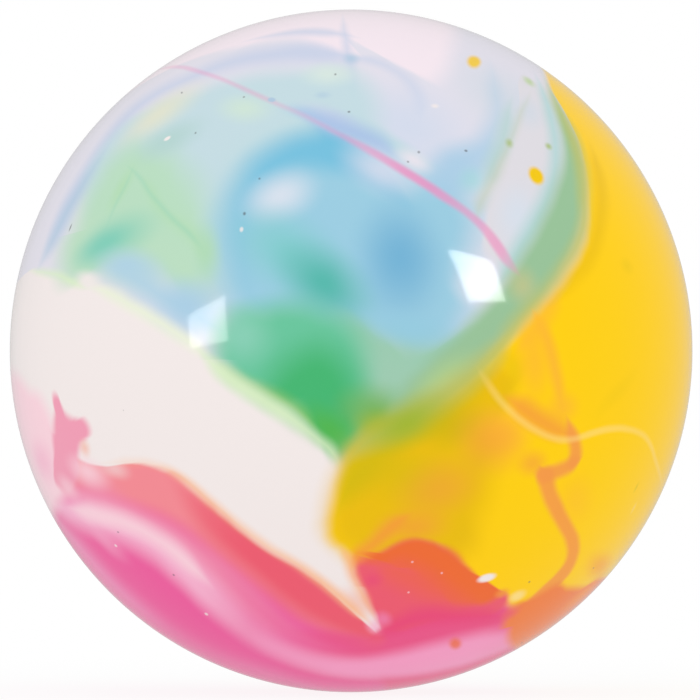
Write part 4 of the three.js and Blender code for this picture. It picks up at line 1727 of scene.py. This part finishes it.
@dataclass(frozen=True)
class Lamp:
    """One soft lamp.

    Attributes:
        name: Its name.
        toward: Its direction from the ball.
        size: The width and the height of its face, in metres.
        turn: How far the face is swung, nodded and rolled from facing the ball, in degrees.
        watts: Its power.
        lights_all: Whether it lights the ball, or is there only to be mirrored in it.
    """

    name: str
    toward: tuple[float, float, float]
    size: Spot
    turn: tuple[float, float, float]
    watts: float
    lights_all: bool

    DISTANCE = 1.0

    def build(self) -> bpy.types.Object:
        """Hangs the lamp, facing the ball.

        Returns:
            The lamp.
        """
        data = bpy.data.lights.new(self.name, "AREA")
        data.shape = "RECTANGLE"
        data.size, data.size_y = self.size
        data.energy = self.watts
        lamp = placed(self.name, data)
        away = Vector(self.toward).normalized()
        lamp.location = away * self.DISTANCE
        facing = away.to_track_quat("Z", "Y").to_matrix()
        for angle, axis in zip(self.turn, "YXZ"):
            facing = facing @ Matrix.Rotation(math.radians(angle), 3, axis)
        lamp.rotation_euler = facing.to_euler()
        lamp.visible_diffuse = self.lights_all
        lamp.visible_camera = False
        return lamp


LAMPS = (
    Lamp(
        "left_softbox",
        toward=(-0.758, -0.640, 0.128),
        size=(0.46, 0.20),
        turn=(60, -6, 10),
        watts=4.8,
        lights_all=False,
    ),
    Lamp(
        "right_softbox",
        toward=(0.673, -0.636, 0.379),
        size=(0.40, 0.264),
        turn=(-57, 16, -8),
        watts=9.5,
        lights_all=False,
    ),
    Lamp(
        "top_softbox",
        toward=(-0.1, -0.7, 0.7),
        size=(1.0, 1.0),
        turn=(0, 0, 0),
        watts=0.6,
        lights_all=True,
    ),
)


@dataclass
class Studio:
    """The floor, the light and the camera round the ball.

    Attributes:
        radius: The ball's radius, in metres.
        eye_distance: From the ball's middle to the camera.
        room_light: The strength of the even light of the room.
        room_tone: How light the room looks where the ball mirrors it.
        board_tone: How light the floor's board is.
        shadow: How much of the board, and of the shadow on it, shows next to the ball.
        shadow_reach: How far from the ball's middle the board shows at all, in ball radii.
        outline_radius: The ball's radius in the photograph, in pixels.
        offset: How far the ball's middle is right of the frame's and below it, in pixels.
    """

    radius: float
    eye_distance: float
    room_light: float = 1.0
    room_tone: float = 0.6
    board_tone: float = 0.9
    shadow: float = 0.12
    shadow_reach: float = 4.0
    outline_radius: float = 341.4
    offset: Spot = (1.1, 0.9)

    FLOOR_SIZE = 4.0
    FRAME_WIDTH = 700

    def build(self) -> None:
        """Builds the floor, the room's light, the lamps and the camera."""
        self.build_floor()
        self.build_room()
        self.build_camera()
        for lamp in LAMPS:
            lamp.build()

    def glow(self, bench: NodeBench) -> Socket:
        """Works out how bright the white surroundings are for each kind of ray.

        Args:
            bench: Where the nodes go.

        Returns:
            The strength: 1 where the camera sees them, the room's tone where the ball mirrors them.
        """
        rays = bench.add("ShaderNodeLightPath").outputs
        seen = bench.math("MAXIMUM", rays["Is Camera Ray"], rays["Is Transmission Ray"])
        darker = self.room_tone - self.room_light
        lit = bench.math("MULTIPLY_ADD", rays["Is Glossy Ray"], darker, self.room_light)
        return bench.math("MAXIMUM", seen, lit)

    def build_floor(self) -> None:
        """Builds the white light table that the ball stands on."""
        half = self.FLOOR_SIZE / 2
        low = -self.radius
        mesh = bpy.data.meshes.new("floor")
        corners = [(-half, -half, low), (half, -half, low), (half, half, low), (-half, half, low)]
        mesh.from_pydata(corners, [], [(0, 1, 2, 3)])
        floor = placed("floor", mesh)
        floor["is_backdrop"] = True
        material, bench = bare_material("light_table")
        strength = self.glow(bench)
        board = bench.add("ShaderNodeBsdfDiffuse")
        board.inputs["Color"].default_value = (self.board_tone, self.board_tone, self.board_tone, 1.0)
        light = bench.add("ShaderNodeEmission")
        bench.feed(light.inputs["Strength"], strength)
        position = bench.add("ShaderNodeTexCoord").outputs["Object"]
        away = bench.vector("LENGTH", position, out="Value")
        shade = bench.fade(away, self.shadow_reach * self.radius, self.radius, self.shadow)
        mix = bench.add("ShaderNodeMixShader")
        bench.feed(mix.inputs["Fac"], shade)
        bench.feed(mix.inputs[1], light.outputs["Emission"])
        bench.feed(mix.inputs[2], board.outputs["BSDF"])
        output = bench.add("ShaderNodeOutputMaterial")
        bench.feed(output.inputs["Surface"], mix.outputs["Shader"])
        mesh.materials.append(material)

    def build_room(self) -> None:
        """Builds the even light of a white room."""
        world = bpy.data.worlds.new("white_room")
        bpy.context.scene.world = world
        world.use_nodes = True
        world.node_tree.nodes.clear()
        bench = NodeBench(world.node_tree)
        strength = self.glow(bench)
        light = bench.add("ShaderNodeBackground")
        light.inputs["Color"].default_value = (1.0, 1.0, 1.0, 1.0)
        bench.feed(light.inputs["Strength"], strength)
        output = bench.add("ShaderNodeOutputWorld")
        bench.feed(output.inputs["Surface"], light.outputs["Background"])

    def build_camera(self) -> None:
        """Builds the camera, level with the ball's middle."""
        lens = bpy.data.cameras.new("camera")
        camera = placed("camera", lens)
        camera.location = (0.0, -self.eye_distance, 0.0)
        camera.rotation_euler = (math.pi / 2, 0.0, 0.0)
        outline = math.tan(math.asin(self.radius / self.eye_distance))
        outline_share = self.outline_radius / (self.FRAME_WIDTH / 2)
        lens.lens = lens.sensor_width / 2 * outline_share / outline
        right, down = self.offset
        lens.shift_x = -right / self.FRAME_WIDTH
        lens.shift_y = down / self.FRAME_WIDTH
        bpy.context.scene.camera = camera


def nodes_of(frame: dict, side: str) -> tuple[str, ...]:
    """Finds the CAD nodes of one half of the cover.

    Args:
        frame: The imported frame.
        side: The word that their names start or end with.

    Returns:
        Their names.
    """
    return tuple(n for n in frame["nodes"] if n.startswith(side) or n.endswith(side))


def main() -> None:
    """Builds the ball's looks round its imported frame."""
    logging.basicConfig(level=logging.INFO, format="%(message)s")
    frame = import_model()
    cad_low, cad_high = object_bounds()
    radius = (cad_high.z - cad_low.z) / 2
    core_low, core_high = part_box("cork_core")
    core_radius = (core_high.z - core_low.z) / 2
    lip_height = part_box("front_shell")[1].y
    bpy.context.scene.view_settings.view_transform = "Standard"
    Studio(radius, EYE_DISTANCE).build()

    marbling = Marbling(BallView(radius / MM, EYE_DISTANCE / MM)).build()
    flaws = MouldFlaws().build()
    marbled = PlasticFinish("marbled_plastic").build(flaws, marbling)
    backing = PlasticFinish("white_backing").build(flaws, None)
    hollow = core_radius + CoverHalf.clearance
    halves = (
        CoverHalf("front_cover", nodes_of(frame, "front"), radius, hollow, lip_height, Seam.LIP),
        CoverHalf("rear_cover", nodes_of(frame, "rear"), radius, hollow, lip_height, Seam.REBATE),
    )
    for half in halves:
        piece = half.build()
        half.dress(piece, marbled, backing)
        LOG.info("%s: %d faces", piece.name, len(piece.data.polygons))

    core = CorkCore(core_radius)
    piece = core.build()
    core.dress(piece, CorkFinish().build())
    LOG.info("%s: %d faces", piece.name, len(piece.data.polygons))


if __name__ == "__main__":
    main()
